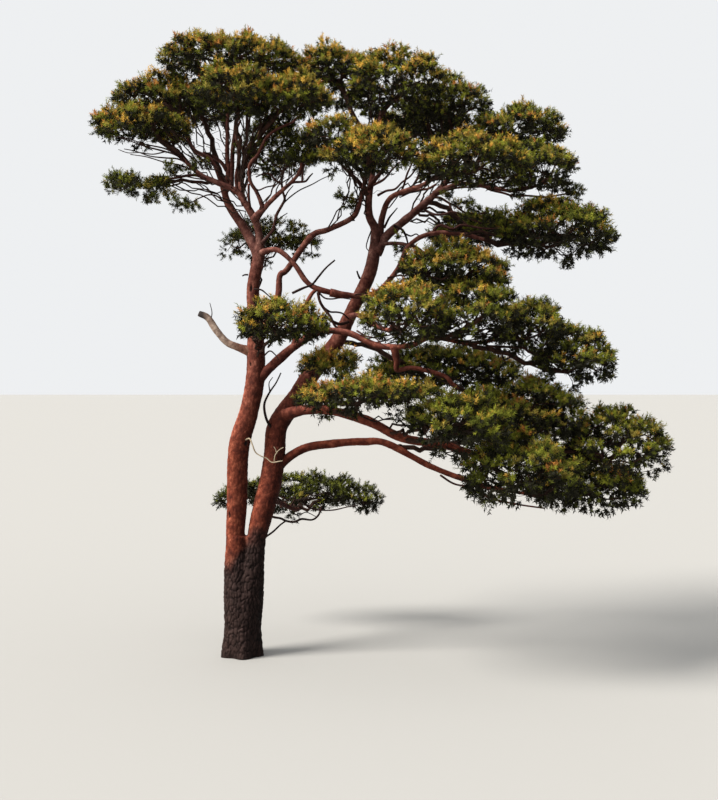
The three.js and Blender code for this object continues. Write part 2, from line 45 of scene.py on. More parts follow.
# Way-points of each limb: x, y, z and thickness there, as in the part
limbLines = {
    "left_stem": [(-0.105, 0, 1.9, 0.3), (-0.085, 0, 2.47, 0.326), (-0.04, -0.05, 3.31, 0.328),
        (0.12, -0.1, 3.87, 0.294), (0.222, -0.12, 4.38, 0.29), (0.23, -0.12, 4.93, 0.272),
        (0.19, -0.1, 5.55, 0.215), (0.185, -0.08, 5.88, 0.208), (0.27, -0.05, 6.32, 0.204)],
    "right_stem": [(0.24, 0, 1.9, 0.31), (0.33, 0, 2.28, 0.33), (0.45, 0.05, 2.76, 0.36),
        (0.51, 0.09, 3.2, 0.35), (0.56, 0.12, 3.66, 0.325), (0.87, 0.18, 4.1, 0.3),
        (1.12, 0.22, 4.52, 0.28), (1.49, 0.28, 4.98, 0.235), (1.78, 0.34, 5.56, 0.212),
        (2.03, 0.38, 6.1, 0.208), (2.13, 0.4, 6.56, 0.196)],
    "left_leader": [(0.27, -0.05, 6.32, 0.2), (0.2, 0, 6.5, 0.18), (0, 0.1, 6.84, 0.15),
        (-0.22, 0.14, 7.17, 0.128), (-0.29, 0.15, 7.4, 0.11), (-0.24, 0.15, 7.67, 0.09),
        (-0.26, 0.2, 8.08, 0.075), (-0.24, 0.12, 8.9, 0.05)],
    "right_leader": [(2.13, 0.4, 6.56, 0.19), (2.12, 0.34, 6.84, 0.15), (2.03, 0.24, 7.02, 0.135),
        (2.02, 0.12, 7.31, 0.118), (2.1, 0.15, 7.8, 0.082), (2.2, 0.1, 8.6, 0.05)],
    "twin_limb": [(0.27, -0.05, 6.3, 0.13), (0.29, -0.08, 6.56, 0.13), (0.24, -0.15, 6.86, 0.115),
        (0.06, -0.2, 7.17, 0.102), (-0.07, -0.2, 7.35, 0.098), (-0.42, -0.2, 7.51, 0.084),
        (-0.65, -0.15, 7.63, 0.076), (-0.98, -0.06, 7.93, 0.058)],
    "middle_limb": [(2.13, 0.4, 6.5, 0.105), (2.21, 0.44, 6.75, 0.105), (2.24, 0.4, 7.03, 0.098),
        (2.39, 0.1, 7.31, 0.085), (2.85, -0.35, 7.42, 0.066), (3, -0.6, 7.49, 0.055)],
    "right_limb": [(2.13, 0.4, 6.45, 0.145), (2.27, 0.42, 6.68, 0.145), (2.56, 0.42, 6.94, 0.132),
        (2.97, 0.47, 7.29, 0.115), (3.3, 0.52, 7.64, 0.095), (3.42, 0.54, 7.9, 0.08),
        (3.8, 0.58, 8.38, 0.052)],
    "dead_snag": [(0.18, -0.11, 4.82, 0.12), (-0.06, -0.19, 4.9, 0.118), (-0.226, -0.2, 4.98, 0.112),
        (-0.394, -0.2, 5.17, 0.11), (-0.52, -0.2, 5.355, 0.105), (-0.66, -0.2, 5.425, 0.092)],
    "long_bough": [(0.222, -0.12, 4.35, 0.15), (0.59, -0.21, 4.69, 0.14), (0.84, -0.25, 4.9, 0.132),
        (1.25, -0.33, 5.13, 0.112), (1.69, -0.42, 5.11, 0.1), (2.17, -0.62, 4.9, 0.092),
        (2.63, -0.9, 4.9, 0.084), (2.96, -1.06, 5.01, 0.074), (3.5, -1.01, 4.93, 0.062),
        (3.98, -0.95, 4.99, 0.05)],
    "red_bough": [(0.6, 0.13, 3.8, 0.17), (1.01, -0.25, 3.91, 0.16), (1.43, -0.5, 3.9, 0.15),
        (2.02, -0.75, 3.74, 0.146), (2.52, -0.9, 3.5, 0.136), (3.18, -1, 3.39, 0.12),
        (3.7, -1.08, 3.24, 0.098), (4.28, -1, 3.24, 0.072), (4.85, -0.85, 3.34, 0.05)],
    "lowest_bough": [(0.48, 0.08, 2.95, 0.14), (0.93, 0.1, 3.26, 0.134), (1.35, 0.1, 3.35, 0.13),
        (1.94, 0.08, 3.39, 0.12), (2.32, 0, 3.36, 0.112), (3.04, -0.1, 2.99, 0.096),
        (3.82, -0.26, 2.72, 0.074), (4.5, -0.42, 2.6, 0.05)],
    "low_back_bough": [(0.45, 0.06, 2.48, 0.08), (0.6, 0.5, 2.35, 0.072), (0.8, 1, 2.2, 0.062),
        (0.85, 1.4, 2.18, 0.05)],
    "rising_bough": [(0.23, -0.11, 5, 0.105), (0.56, -0.17, 5.6, 0.1), (0.61, -0.12, 6.02, 0.096),
        (0.72, -0.1, 6.12, 0.095), (1.01, -0.1, 6.54, 0.1), (1.17, -0.1, 6.7, 0.092),
        (1.38, -0.1, 6.76, 0.088), (1.74, -0.15, 6.93, 0.08), (1.86, -0.26, 7.1, 0.072),
        (1.95, -0.7, 7.42, 0.055)],
    "crossing_bough": [(0.26, -0.06, 6.38, 0.086), (0.57, -0.27, 6.42, 0.082), (0.84, -0.31, 6.2, 0.08),
        (1.03, -0.32, 5.93, 0.084), (1.19, -0.33, 5.81, 0.088), (1.45, -0.31, 5.74, 0.088)],
    "right_bough": [(1.41, -0.314, 5.748, 0.084), (1.64, -0.29, 5.712, 0.087), (2.08, -0.23, 5.72, 0.088),
        (2.46, -0.18, 6.1, 0.082), (2.64, -0.15, 6.48, 0.08), (2.96, -0.15, 6.68, 0.078),
        (3.45, -0.15, 6.69, 0.07), (3.85, -0.18, 6.59, 0.058)],
    "prop_limb": [(0.84, -0.25, 4.9, 0.072), (0.99, -0.33, 5.44, 0.066), (1.11, -0.34, 5.7, 0.062),
        (1.19, -0.33, 5.79, 0.06)],
    "kinked_bough": [(1.7, 0.32, 5.4, 0.088), (1.86, -0.15, 5.4, 0.086), (2.13, -0.7, 5.2, 0.08),
        (2.32, -0.95, 5.13, 0.074), (2.37, -1.13, 5.2, 0.066)],
    "dropping_bough": [(2.4, -0.78, 4.89, 0.082), (2.44, -0.78, 4.65, 0.08), (2.45, -0.72, 4.53, 0.078),
        (2.7, -0.72, 4.56, 0.076), (3.15, -0.78, 4.44, 0.072), (3.32, -0.82, 4.29, 0.064),
        (3.62, -0.8, 4.15, 0.05)],
    "west_bough": [(-0.285, 0.15, 7.38, 0.082), (-0.4, 0.03, 7.72, 0.078), (-0.51, 0, 7.9, 0.074),
        (-0.75, 0, 8.03, 0.068), (-0.86, 0.06, 8.22, 0.058), (-1, 0.14, 8.6, 0.046)],
    "inner_bough": [(0.06, -0.2, 7.15, 0.074), (-0.02, -0.11, 7.5, 0.068), (0.02, 0, 7.8, 0.06),
        (0.06, 0.04, 8.05, 0.052)],
    "hooked_bough": [(0.2, -0.18, 6.9, 0.086), (0.37, -0.3, 7.06, 0.08), (0.57, -0.4, 7.24, 0.072),
        (0.84, -0.52, 7.46, 0.058), (0.96, -0.64, 7.6, 0.048), (1, -0.76, 7.76, 0.042)],
    "east_bough": [(3.08, 0.48, 7.42, 0.074), (3.5, 0.38, 7.57, 0.068), (3.88, 0.22, 7.5, 0.06),
        (4.26, 0.06, 7.4, 0.05)],
}
# Masses: limb and number of the way-point that each grows from, middle, half sizes, whether dense
masses = {
    "crown_top": ("left_leader", 7, (-0.21, 0.1, 9.55), (1.14, 1.1, 0.42), True),
    "crown_west": ("west_bough", 5, (-1.32, 0.25, 9.02), (0.8, 0.8, 0.42), True),
    "west_pad": ("twin_limb", 7, (-1.6, -0.2, 8.48), (0.78, 0.9, 0.3), True),
    "front_pad": ("inner_bough", 1, (0.01, -1.25, 8.77), (0.66, 0.7, 0.38), True),
    "front_east_pad": ("inner_bough", 2, (0.79, -0.95, 8.66), (0.75, 0.75, 0.38), True),
    "inner_mass": ("inner_bough", 3, (0.55, 0.06, 8.15), (0.68, 0.6, 0.55), False),
    "hooked_pad": ("hooked_bough", 5, (0.99, -0.72, 7.97), (0.33, 0.34, 0.19), False),
    "dark_mass": ("left_stem", 7, (0.36, 1.2, 6.86), (0.93, 0.55, 0.42), False),
    "low_west_mass": ("twin_limb", 5, (-1.6, -0.25, 7.58), (0.58, 0.52, 0.21), False),
    "back_west_pad": ("left_leader", 4, (-1, 1.65, 9.25), (0.75, 0.75, 0.4), True),
    "upper_back_pad": ("right_leader", 4, (1.33, 1, 9.55), (0.93, 0.95, 0.53), True),
    "upper_pad": ("right_leader", 5, (2.48, 0, 9.14), (0.84, 0.98, 0.6), True),
    "upper_east_pad": ("right_limb", 4, (3.37, 0.7, 8.97), (0.68, 0.8, 0.52), True),
    "east_top_pad": ("right_limb", 6, (4.46, 0.6, 8.54), (0.82, 0.95, 0.45), True),
    "middle_west_pad": ("right_leader", 3, (1.53, -1.4, 8.01), (0.5, 0.55, 0.38), True),
    "middle_pad": ("rising_bough", 9, (2.021, -1.65, 7.77), (0.72, 0.72, 0.4), True),
    "middle_east_pad": ("middle_limb", 5, (3.575, -1.1, 7.74), (0.92, 0.85, 0.42), True),
    "east_pad": ("east_bough", 3, (4.75, -0.25, 7.7), (0.48, 0.8, 0.5), True),
    "right_pad": ("right_bough", 7, (4.98, -0.3, 6.79), (0.95, 1.1, 0.54), True),
    "shelf_pad": ("right_bough", 4, (3.29, -1.05, 6.13), (0.88, 0.8, 0.42), True),
    "centre_pad": ("kinked_bough", 4, (2.511, -1.85, 5.38), (0.64, 0.85, 0.55), True),
    "centre_east_pad": ("long_bough", 7, (3.59, -1.5, 5.42), (0.68, 0.9, 0.55), True),
    "slope_pad": ("long_bough", 9, (4.47, -0.85, 5.27), (0.56, 0.95, 0.5), True),
    "slope_foot_pad": ("long_bough", 8, (5.12, -0.75, 4.8), (0.66, 0.95, 0.52), True),
    "near_pad": ("left_stem", 5, (0.76, -1.6, 5.29), (0.71, 0.7, 0.4), True),
    "small_pad": ("right_stem", 6, (1.425, -0.95, 4.722), (0.5, 0.45, 0.26), True),
    "dark_back_pad": ("right_stem", 7, (3.35, 1.6, 4.66), (1.4, 0.9, 0.48), True),
    "low_left_pad": ("red_bough", 2, (1.912, -2.05, 4.19), (1.01, 0.78, 0.34), True),
    "low_front_pad": ("red_bough", 4, (3.3, -1.95, 3.84), (0.82, 0.85, 0.52), True),
    "low_middle_pad": ("dropping_bough", 6, (4.45, -0.8, 3.95), (0.95, 0.9, 0.56), True),
    "low_east_pad": ("red_bough", 8, (5.78, -0.75, 3.52), (0.8, 0.98, 0.62), True),
    "low_skirt_pad": ("red_bough", 6, (4.2, -1.8, 3.17), (0.95, 0.8, 0.56), True),
    "lowest_pad": ("lowest_bough", 7, (5.4, -0.55, 2.88), (0.9, 0.85, 0.5), True),
    "low_back_pad": ("low_back_bough", 3, (0.813, 2.05, 2.44), (1.6, 0.56, 0.4), False),
    "back_top_pad": ("right_leader", 4, (2.9, 2.15, 8.95), (0.95, 0.78, 0.46), True),
    "back_east_pad": ("right_limb", 3, (3.95, 1.8, 7.1), (0.95, 0.85, 0.34), True),
    "back_low_pad": ("lowest_bough", 4, (4.3, 1.45, 3.75), (1.25, 0.85, 0.52), True),
}

# Side limbs and dead wood: how dark (dead wood's own dark bark, and for live limbs under the pads partly
# painted shade), thickness at both ends, then way-points
sideLimbs = {
    "secondLeader": (0.2, 0.088, 0.048, [(-0.19, 0.14, 7.48), (-0.18, 0.17, 7.79), (-0.17, 0.2, 8.08),
        (-0.14, 0.24, 8.38), (-0.11, 0.27, 8.68), (-0.06, 0.3, 8.95)]),
    "thirdLeader": (0.3, 0.064, 0.032, [(-0.08, 0.1, 7.39), (-0.1, 0.08, 7.64), (-0.05, 0.06, 7.89),
        (-0.07, 0.04, 8.11), (-0.1, 0.02, 8.33), (-0.02, 0, 8.52)]),
    "innerTip": (0.3, 0.072, 0.032, [(0.06, 0.04, 8.05), (0.16, -0.03, 8.16), (0.28, -0.11, 8.27),
        (0.35, -0.18, 8.41), (0.5, -0.25, 8.52), (0.72, -0.33, 8.62), (0.91, -0.4, 8.71)]),
    "hookStem": (0.3, 0.072, 0.032, [(0.36, -0.32, 7.07), (0.32, -0.36, 7.19), (0.26, -0.4, 7.32),
        (0.18, -0.44, 7.45), (0.16, -0.48, 7.62), (0.19, -0.52, 7.73), (0.3, -0.55, 7.85),
        (0.37, -0.59, 7.98), (0.45, -0.63, 8.11), (0.62, -0.67, 8.23), (0.84, -0.71, 8.32),
        (0.99, -0.75, 8.44)]),
    "hookBrace": (0.3, 0.048, 0.04, [(0.15, -0.2, 7.04), (0.14, -0.33, 7.22), (0.15, -0.45, 7.42)]),
    "hookFinger": (0.6, 0.048, 0.019, [(0.7, -0.5, 7.35), (0.83, -0.51, 7.43), (0.95, -0.52, 7.44),
        (1.04, -0.53, 7.45), (1.09, -0.54, 7.51), (1.15, -0.55, 7.57)]),
    "hookLadder": (0.5, 0.048, 0.024, [(0.94, -0.6, 7.52), (0.99, -0.65, 7.63), (1.01, -0.7, 7.74),
        (1.05, -0.75, 7.81), (1.19, -0.8, 7.83), (1.35, -0.85, 7.84), (1.48, -0.9, 7.87)]),
    "hookCross": (0.6, 0.035, 0.021, [(0.99, -0.6, 7.44), (1, -0.64, 7.59), (1.04, -0.68, 7.69),
        (1.11, -0.72, 7.69), (1.16, -0.76, 7.76), (1.24, -0.8, 7.82)]),
    "darkRiser": (0.6, 0.064, 0.026, [(0.33, -0.16, 6.54), (0.42, -0.13, 6.64), (0.5, -0.11, 6.75),
        (0.53, -0.08, 6.88), (0.56, -0.06, 7.01), (0.64, -0.03, 7.16), (0.68, 0, 7.26), (0.65, 0.02, 7.38),
        (0.63, 0.05, 7.54), (0.66, 0.07, 7.7), (0.73, 0.1, 7.87)]),
    "longTwig": (1, 0.024, 0.013, [(0.67, -0.05, 7.19), (0.77, -0.12, 7.27), (0.93, -0.19, 7.37),
        (1.13, -0.26, 7.45), (1.28, -0.33, 7.52), (1.43, -0.4, 7.57)]),
    "shortTwig": (1, 0.026, 0.014, [(0.67, -0.05, 7.22), (0.73, -0.17, 7.33), (0.83, -0.3, 7.42)]),
    "lowTwig": (1, 0.022, 0.013, [(0.53, -0.1, 6.88), (0.63, -0.2, 6.94), (0.74, -0.3, 6.99)]),
    "thicketLow": (0.7, 0.038, 0.019, [(0.64, -0.1, 7.48), (0.53, -0.08, 7.55), (0.45, -0.05, 7.65),
        (0.32, -0.02, 7.65), (0.22, 0, 7.61)]),
    "thicketMiddle": (0.7, 0.035, 0.019, [(0.65, 0, 7.61), (0.6, 0.03, 7.76), (0.49, 0.05, 7.83),
        (0.38, 0.08, 7.93), (0.31, 0.1, 7.87)]),
    "thicketHigh": (0.7, 0.035, 0.019, [(0.68, 0.05, 7.73), (0.76, 0.01, 7.85), (0.73, -0.03, 7.97),
        (0.82, -0.06, 8.08), (0.87, -0.1, 8.18)]),
    "thicketAcross": (0.7, 0.032, 0.016, [(0.19, -0.35, 7.44), (0.28, -0.31, 7.35), (0.4, -0.28, 7.4),
        (0.54, -0.24, 7.44), (0.63, -0.2, 7.51)]),
    "westBrace": (0.3, 0.067, 0.054, [(-0.26, 0.16, 7.74), (-0.35, 0.11, 7.87), (-0.49, 0.07, 7.96),
        (-0.62, 0.02, 8)]),
    "lowWestLimb": (0.6, 0.051, 0.029, [(-0.55, -0.2, 7.54), (-0.7, -0.21, 7.6), (-0.86, -0.22, 7.59),
        (-1.05, -0.23, 7.55), (-1.23, -0.23, 7.55), (-1.39, -0.24, 7.46), (-1.53, -0.25, 7.38)]),
    "westLineHigh": (0.8, 0.035, 0.016, [(-0.88, -0.1, 7.83), (-1.03, -0.16, 7.93), (-1.22, -0.22, 7.98),
        (-1.45, -0.28, 8.03), (-1.68, -0.34, 8.1), (-1.88, -0.4, 8.16)]),
    "westLineLow": (0.8, 0.032, 0.013, [(-0.85, -0.1, 7.8), (-1.01, -0.04, 7.89), (-1.23, 0.02, 7.92),
        (-1.48, 0.08, 7.96), (-1.72, 0.14, 8.05), (-1.92, 0.2, 8.1)]),
    "westLineThird": (0.8, 0.032, 0.014, [(-0.92, -0.15, 7.9), (-1.07, -0.09, 8.06), (-1.21, -0.02, 8.18),
        (-1.39, 0.04, 8.22), (-1.58, 0.1, 8.32)]),
    "westLineFourth": (0.8, 0.029, 0.013, [(-0.97, -0.07, 7.92), (-1.2, -0.15, 8.03), (-1.5, -0.2, 8.09),
        (-1.78, -0.25, 8.17), (-2.02, -0.3, 8.19)]),
    "westLineFifth": (0.8, 0.026, 0.013, [(-0.72, -0.13, 7.68), (-0.95, -0.2, 7.76), (-1.2, -0.25, 7.8),
        (-1.46, -0.3, 7.87), (-1.72, -0.3, 7.91)]),
    "westLineSixth": (0.9, 0.021, 0.011, [(-1.2, -0.2, 7.97), (-1.4, -0.12, 7.95), (-1.62, -0.05, 7.99),
        (-1.82, 0.02, 8.0), (-1.98, 0.05, 8.06)]),
    "sprigLimb": (0.8, 0.029, 0.016, [(-0.28, -0.2, 7.2), (-0.38, -0.24, 7.27), (-0.5, -0.28, 7.28),
        (-0.64, -0.32, 7.22), (-0.78, -0.36, 7.14), (-0.91, -0.4, 7.12)]),
    "sprigSpur": (0.8, 0.022, 0.013, [(-0.44, -0.2, 7.29), (-0.53, -0.3, 7.4), (-0.61, -0.4, 7.43),
        (-0.66, -0.5, 7.46)]),
    "leftFork": (0.3, 0.08, 0.038, [(1.96, 0.16, 7.38), (1.88, -0.13, 7.48), (1.75, -0.42, 7.57),
        (1.63, -0.71, 7.63), (1.55, -1, 7.7)]),
    "rightFork": (0.5, 0.088, 0.042, [(1.99, 0.14, 7.4), (2.09, -0.02, 7.53), (2.19, -0.18, 7.63),
        (2.28, -0.34, 7.72), (2.34, -0.5, 7.85)]),
    "forkBrace": (0.6, 0.048, 0.026, [(2.04, 0.14, 7.48), (2.13, -0.07, 7.49), (2.26, -0.28, 7.53),
        (2.37, -0.49, 7.63), (2.48, -0.7, 7.71)]),
    "forkLine": (0.7, 0.045, 0.022, [(2.17, 0.3, 7.37), (2.3, 0.18, 7.42), (2.44, 0.06, 7.43),
        (2.55, -0.06, 7.52), (2.67, -0.18, 7.59), (2.79, -0.3, 7.73)]),
    "uprightOne": (0.6, 0.042, 0.022, [(2.52, 0.1, 7.34), (2.58, -0.05, 7.49), (2.62, -0.2, 7.62),
        (2.69, -0.35, 7.77), (2.71, -0.5, 7.91)]),
    "uprightTwo": (0.6, 0.038, 0.022, [(2.7, -0.1, 7.42), (2.78, -0.23, 7.55), (2.83, -0.35, 7.69),
        (2.9, -0.47, 7.79), (3, -0.6, 7.87)]),
    "uprightThree": (0.6, 0.038, 0.022, [(2.92, -0.2, 7.5), (2.97, -0.4, 7.62), (2.99, -0.6, 7.72),
        (3.1, -0.8, 7.75)]),
    "middleBrace": (0.4, 0.045, 0.035, [(2.55, 0.1, 7.33), (2.71, 0.02, 7.39), (2.83, -0.05, 7.4),
        (2.95, -0.13, 7.4), (3.08, -0.2, 7.46)]),
    "eastLineOne": (0.8, 0.042, 0.019, [(3.09, 0.5, 7.44), (3.28, 0.4, 7.47), (3.45, 0.3, 7.49),
        (3.65, 0.2, 7.49), (3.85, 0.1, 7.52), (4.06, 0, 7.63)]),
    "eastLineTwo": (0.8, 0.038, 0.019, [(3.29, 0.5, 7.6), (3.51, 0.38, 7.62), (3.75, 0.26, 7.63),
        (3.97, 0.14, 7.57), (4.18, 0.02, 7.62), (4.41, -0.1, 7.61)]),
    "eastLowLimb": (0.5, 0.042, 0.026, [(3.8, 0.1, 7.52), (3.96, 0.09, 7.43), (4.17, 0.07, 7.37),
        (4.34, 0.06, 7.32), (4.56, 0.04, 7.32), (4.83, 0.03, 7.3), (5.07, 0.01, 7.33), (5.26, 0, 7.36)]),
    "shadeLimbOne": (0.7, 0.048, 0.021, [(3.04, 0.5, 7.38), (3.19, 0.45, 7.35), (3.33, 0.4, 7.26),
        (3.44, 0.35, 7.2), (3.56, 0.3, 7.1), (3.72, 0.25, 7.06), (3.91, 0.2, 7.07)]),
    "shadeLimbTwo": (0.7, 0.045, 0.021, [(2.93, 0.48, 7.16), (3.09, 0.42, 7.08), (3.24, 0.35, 7.07),
        (3.37, 0.29, 7.1), (3.49, 0.23, 7.06), (3.65, 0.16, 6.97), (3.83, 0.1, 6.89)]),
    "shadeLimbThree": (0.7, 0.035, 0.018, [(3.33, 0.4, 7.26), (3.39, 0.33, 7.1), (3.53, 0.27, 6.96),
        (3.65, 0.2, 6.84)]),
    "upperArc": (0.5, 0.045, 0.029, [(3.03, -0.16, 6.71), (3.09, -0.16, 6.79), (3.17, -0.17, 6.82),
        (3.27, -0.17, 6.78), (3.36, -0.18, 6.76), (3.47, -0.18, 6.82), (3.63, -0.19, 6.8),
        (3.8, -0.19, 6.77), (3.99, -0.2, 6.76), (4.21, -0.2, 6.8)]),
    "crossLimb": (0.5, 0.064, 0.048, [(2.27, 0.36, 6.59), (2.41, 0.19, 6.58), (2.55, 0.02, 6.55),
        (2.7, -0.15, 6.49)]),
    "deadHorn": (1, 0.038, 0.018, [(2.27, 0.32, 6.84), (2.35, 0.28, 7), (2.41, 0.24, 7.07),
        (2.48, 0.2, 7.15)]),
    "deadHand": (1, 0.045, 0.029, [(2.43, 0.32, 6.88), (2.56, 0.28, 6.81), (2.62, 0.24, 6.7),
        (2.65, 0.2, 6.58)]),
    "deadFinger": (1, 0.032, 0.019, [(2.61, 0.26, 6.74), (2.7, 0.22, 6.7), (2.78, 0.19, 6.73),
        (2.84, 0.15, 6.68)]),
    "hangingTwig": (1, 0.024, 0.014, [(2.06, 0.28, 6.79), (2.01, 0.27, 6.66), (1.98, 0.26, 6.53),
        (2.02, 0.25, 6.46)]),
    "boughSpur": (0.8, 0.024, 0.013, [(1.52, -0.16, 6.89), (1.55, -0.17, 7.03), (1.6, -0.19, 7.14),
        (1.64, -0.2, 7.21)]),
    "sprigStemEast": (0.8, 0.032, 0.018, [(1.93, -0.3, 7.18), (1.8, -0.33, 7.21), (1.68, -0.37, 7.23),
        (1.55, -0.4, 7.24)]),
    "deadStick": (1, 0.042, 0.026, [(0.82, -0.38, 5.73), (0.99, -0.37, 5.81), (1.13, -0.36, 5.87),
        (1.23, -0.42, 5.98), (1.35, -0.44, 6.12), (1.49, -0.45, 6.24)]),
    "darkArm": (0.8, 0.048, 0.038, [(1.22, -0.32, 5.75), (1.25, -0.32, 5.61), (1.32, -0.31, 5.49),
        (1.42, -0.31, 5.36), (1.47, -0.3, 5.25), (1.53, -0.3, 5.18)]),
    "darkArcHigh": (0.8, 0.029, 0.019, [(1.24, -0.32, 5.74), (1.33, -0.29, 5.66), (1.45, -0.26, 5.65),
        (1.58, -0.23, 5.67), (1.74, -0.2, 5.65)]),
    "darkArcLow": (0.8, 0.035, 0.026, [(1.32, -0.32, 5.5), (1.41, -0.23, 5.45), (1.52, -0.14, 5.45),
        (1.61, -0.04, 5.43), (1.7, 0.05, 5.35)]),
    "darkBar": (0.8, 0.054, 0.042, [(1.7, -0.1, 5.3), (1.56, -0.17, 5.26), (1.44, -0.23, 5.3),
        (1.35, -0.3, 5.36)]),
    "stemTwig": (1, 0.029, 0.018, [(0.21, -0.24, 5.81), (0.33, -0.28, 5.79), (0.42, -0.31, 5.72),
        (0.52, -0.35, 5.63)]),
    "stemStub": (1, 0.029, 0.019, [(0.11, -0.14, 6.04), (0.06, -0.15, 6.04), (0.02, -0.16, 6.02)]),
    "rightStub": (1, 0.038, 0.026, [(1.88, 0.2, 6.01), (1.85, 0.17, 6.07), (1.83, 0.15, 6.13)]),
    "snagTwig": (1, 0.018, 0.01, [(-0.47, -0.21, 5.32), (-0.45, -0.22, 5.44), (-0.48, -0.25, 5.59)]),
    "nearTwigOne": (0.9, 0.032, 0.016, [(0.36, -0.3, 5.11), (0.48, -0.42, 5.19), (0.63, -0.55, 5.15),
        (0.74, -0.68, 5.1), (0.87, -0.8, 5.15)]),
    "nearTwigTwo": (0.9, 0.032, 0.016, [(0.44, -0.3, 4.89), (0.53, -0.45, 4.98), (0.66, -0.6, 5.02),
        (0.82, -0.75, 5.02), (0.97, -0.9, 5.09)]),
    "nearTwigThree": (0.9, 0.026, 0.014, [(0.37, -0.3, 4.75), (0.47, -0.37, 4.83), (0.56, -0.43, 4.77),
        (0.62, -0.5, 4.69)]),
    "boughTwigOne": (0.8, 0.029, 0.016, [(1.83, -0.5, 5.14), (1.97, -0.6, 5.05), (2.11, -0.7, 5.02),
        (2.21, -0.8, 4.92), (2.32, -0.9, 4.86)]),
    "boughTwigTwo": (0.8, 0.035, 0.018, [(2.03, -0.6, 5.33), (2.18, -0.75, 5.28), (2.35, -0.9, 5.25),
        (2.54, -1.05, 5.21), (2.71, -1.2, 5.15)]),
    "blackDeadLimb": (1, 0.046, 0.021, [(0.5, 0.02, 3.58), (0.4, -0.06, 3.74), (0.36, -0.08, 3.98),
        (0.44, -0.1, 4.17), (0.55, -0.13, 4.33), (0.63, -0.15, 4.49)]),
    "blackDeadSpur": (1, 0.022, 0.013, [(0.45, -0.1, 4.2), (0.44, -0.12, 4.33), (0.5, -0.15, 4.42)]),
    "paleDeadTwig": (0, 0.026, 0.014, [(0.067, -0.17, 3.43), (0.146, -0.25, 3.456), (0.194, -0.28, 3.354),
        (0.241, -0.28, 3.243), (0.335, -0.28, 3.18), (0.414, -0.27, 3.149), (0.493, -0.27, 3.086),
        (0.603, -0.27, 3.1), (0.666, -0.26, 3.11)]),
    "paleDeadSpur": (0, 0.016, 0.01, [(0.532, -0.27, 3.1), (0.548, -0.28, 3.196), (0.603, -0.29, 3.275),
        (0.682, -0.29, 3.322)]),
    "paleDeadTip": (0, 0.013, 0.009, [(0.572, -0.285, 3.22), (0.556, -0.29, 3.29), (0.532, -0.3, 3.33)]),
    "lowBackTwigOne": (0.9, 0.032, 0.016, [(0.87, 1.1, 2.37), (1.01, 1.2, 2.22), (1.21, 1.3, 2.16),
        (1.43, 1.4, 2.15), (1.66, 1.5, 2.19), (1.85, 1.6, 2.21)]),
    "lowBackTwigTwo": (0.9, 0.045, 0.028, [(0.36, 0.1, 2.24), (0.48, 0.14, 2.18), (0.6, 0.2, 2.15),
        (0.69, 0.26, 2.1), (0.82, 0.3, 2.08), (0.93, 0.36, 2.12), (1.1, 0.42, 2.1), (1.2, 0.5, 2.17),
        (1.25, 0.6, 2.3)]),
    "lowBackTwigFour": (0.9, 0.035, 0.028, [(0.33, 0.1, 1.84), (0.48, 0.13, 1.94), (0.6, 0.17, 2.05),
        (0.69, 0.22, 2.11)]),
    "lowBackTwigThree": (0.9, 0.026, 0.013, [(0.79, 1.2, 2.39), (0.68, 1.3, 2.16), (0.82, 1.4, 2.06),
        (0.95, 1.5, 2.1), (1.12, 1.6, 2.01)]),
    "lowestTip": (0.5, 0.048, 0.022, [(3.47, -0.36, 2.71), (3.72, -0.4, 2.62), (4.01, -0.43, 2.51),
        (4.36, -0.46, 2.44), (4.74, -0.5, 2.39)]),
    "lowestLine": (0.8, 0.038, 0.018, [(3.14, -0.2, 2.88), (3.37, -0.23, 2.74), (3.67, -0.25, 2.7),
        (3.98, -0.28, 2.64), (4.26, -0.3, 2.53)]),
}
paleTwigs = ("paleDeadTwig", "paleDeadSpur", "paleDeadTip")
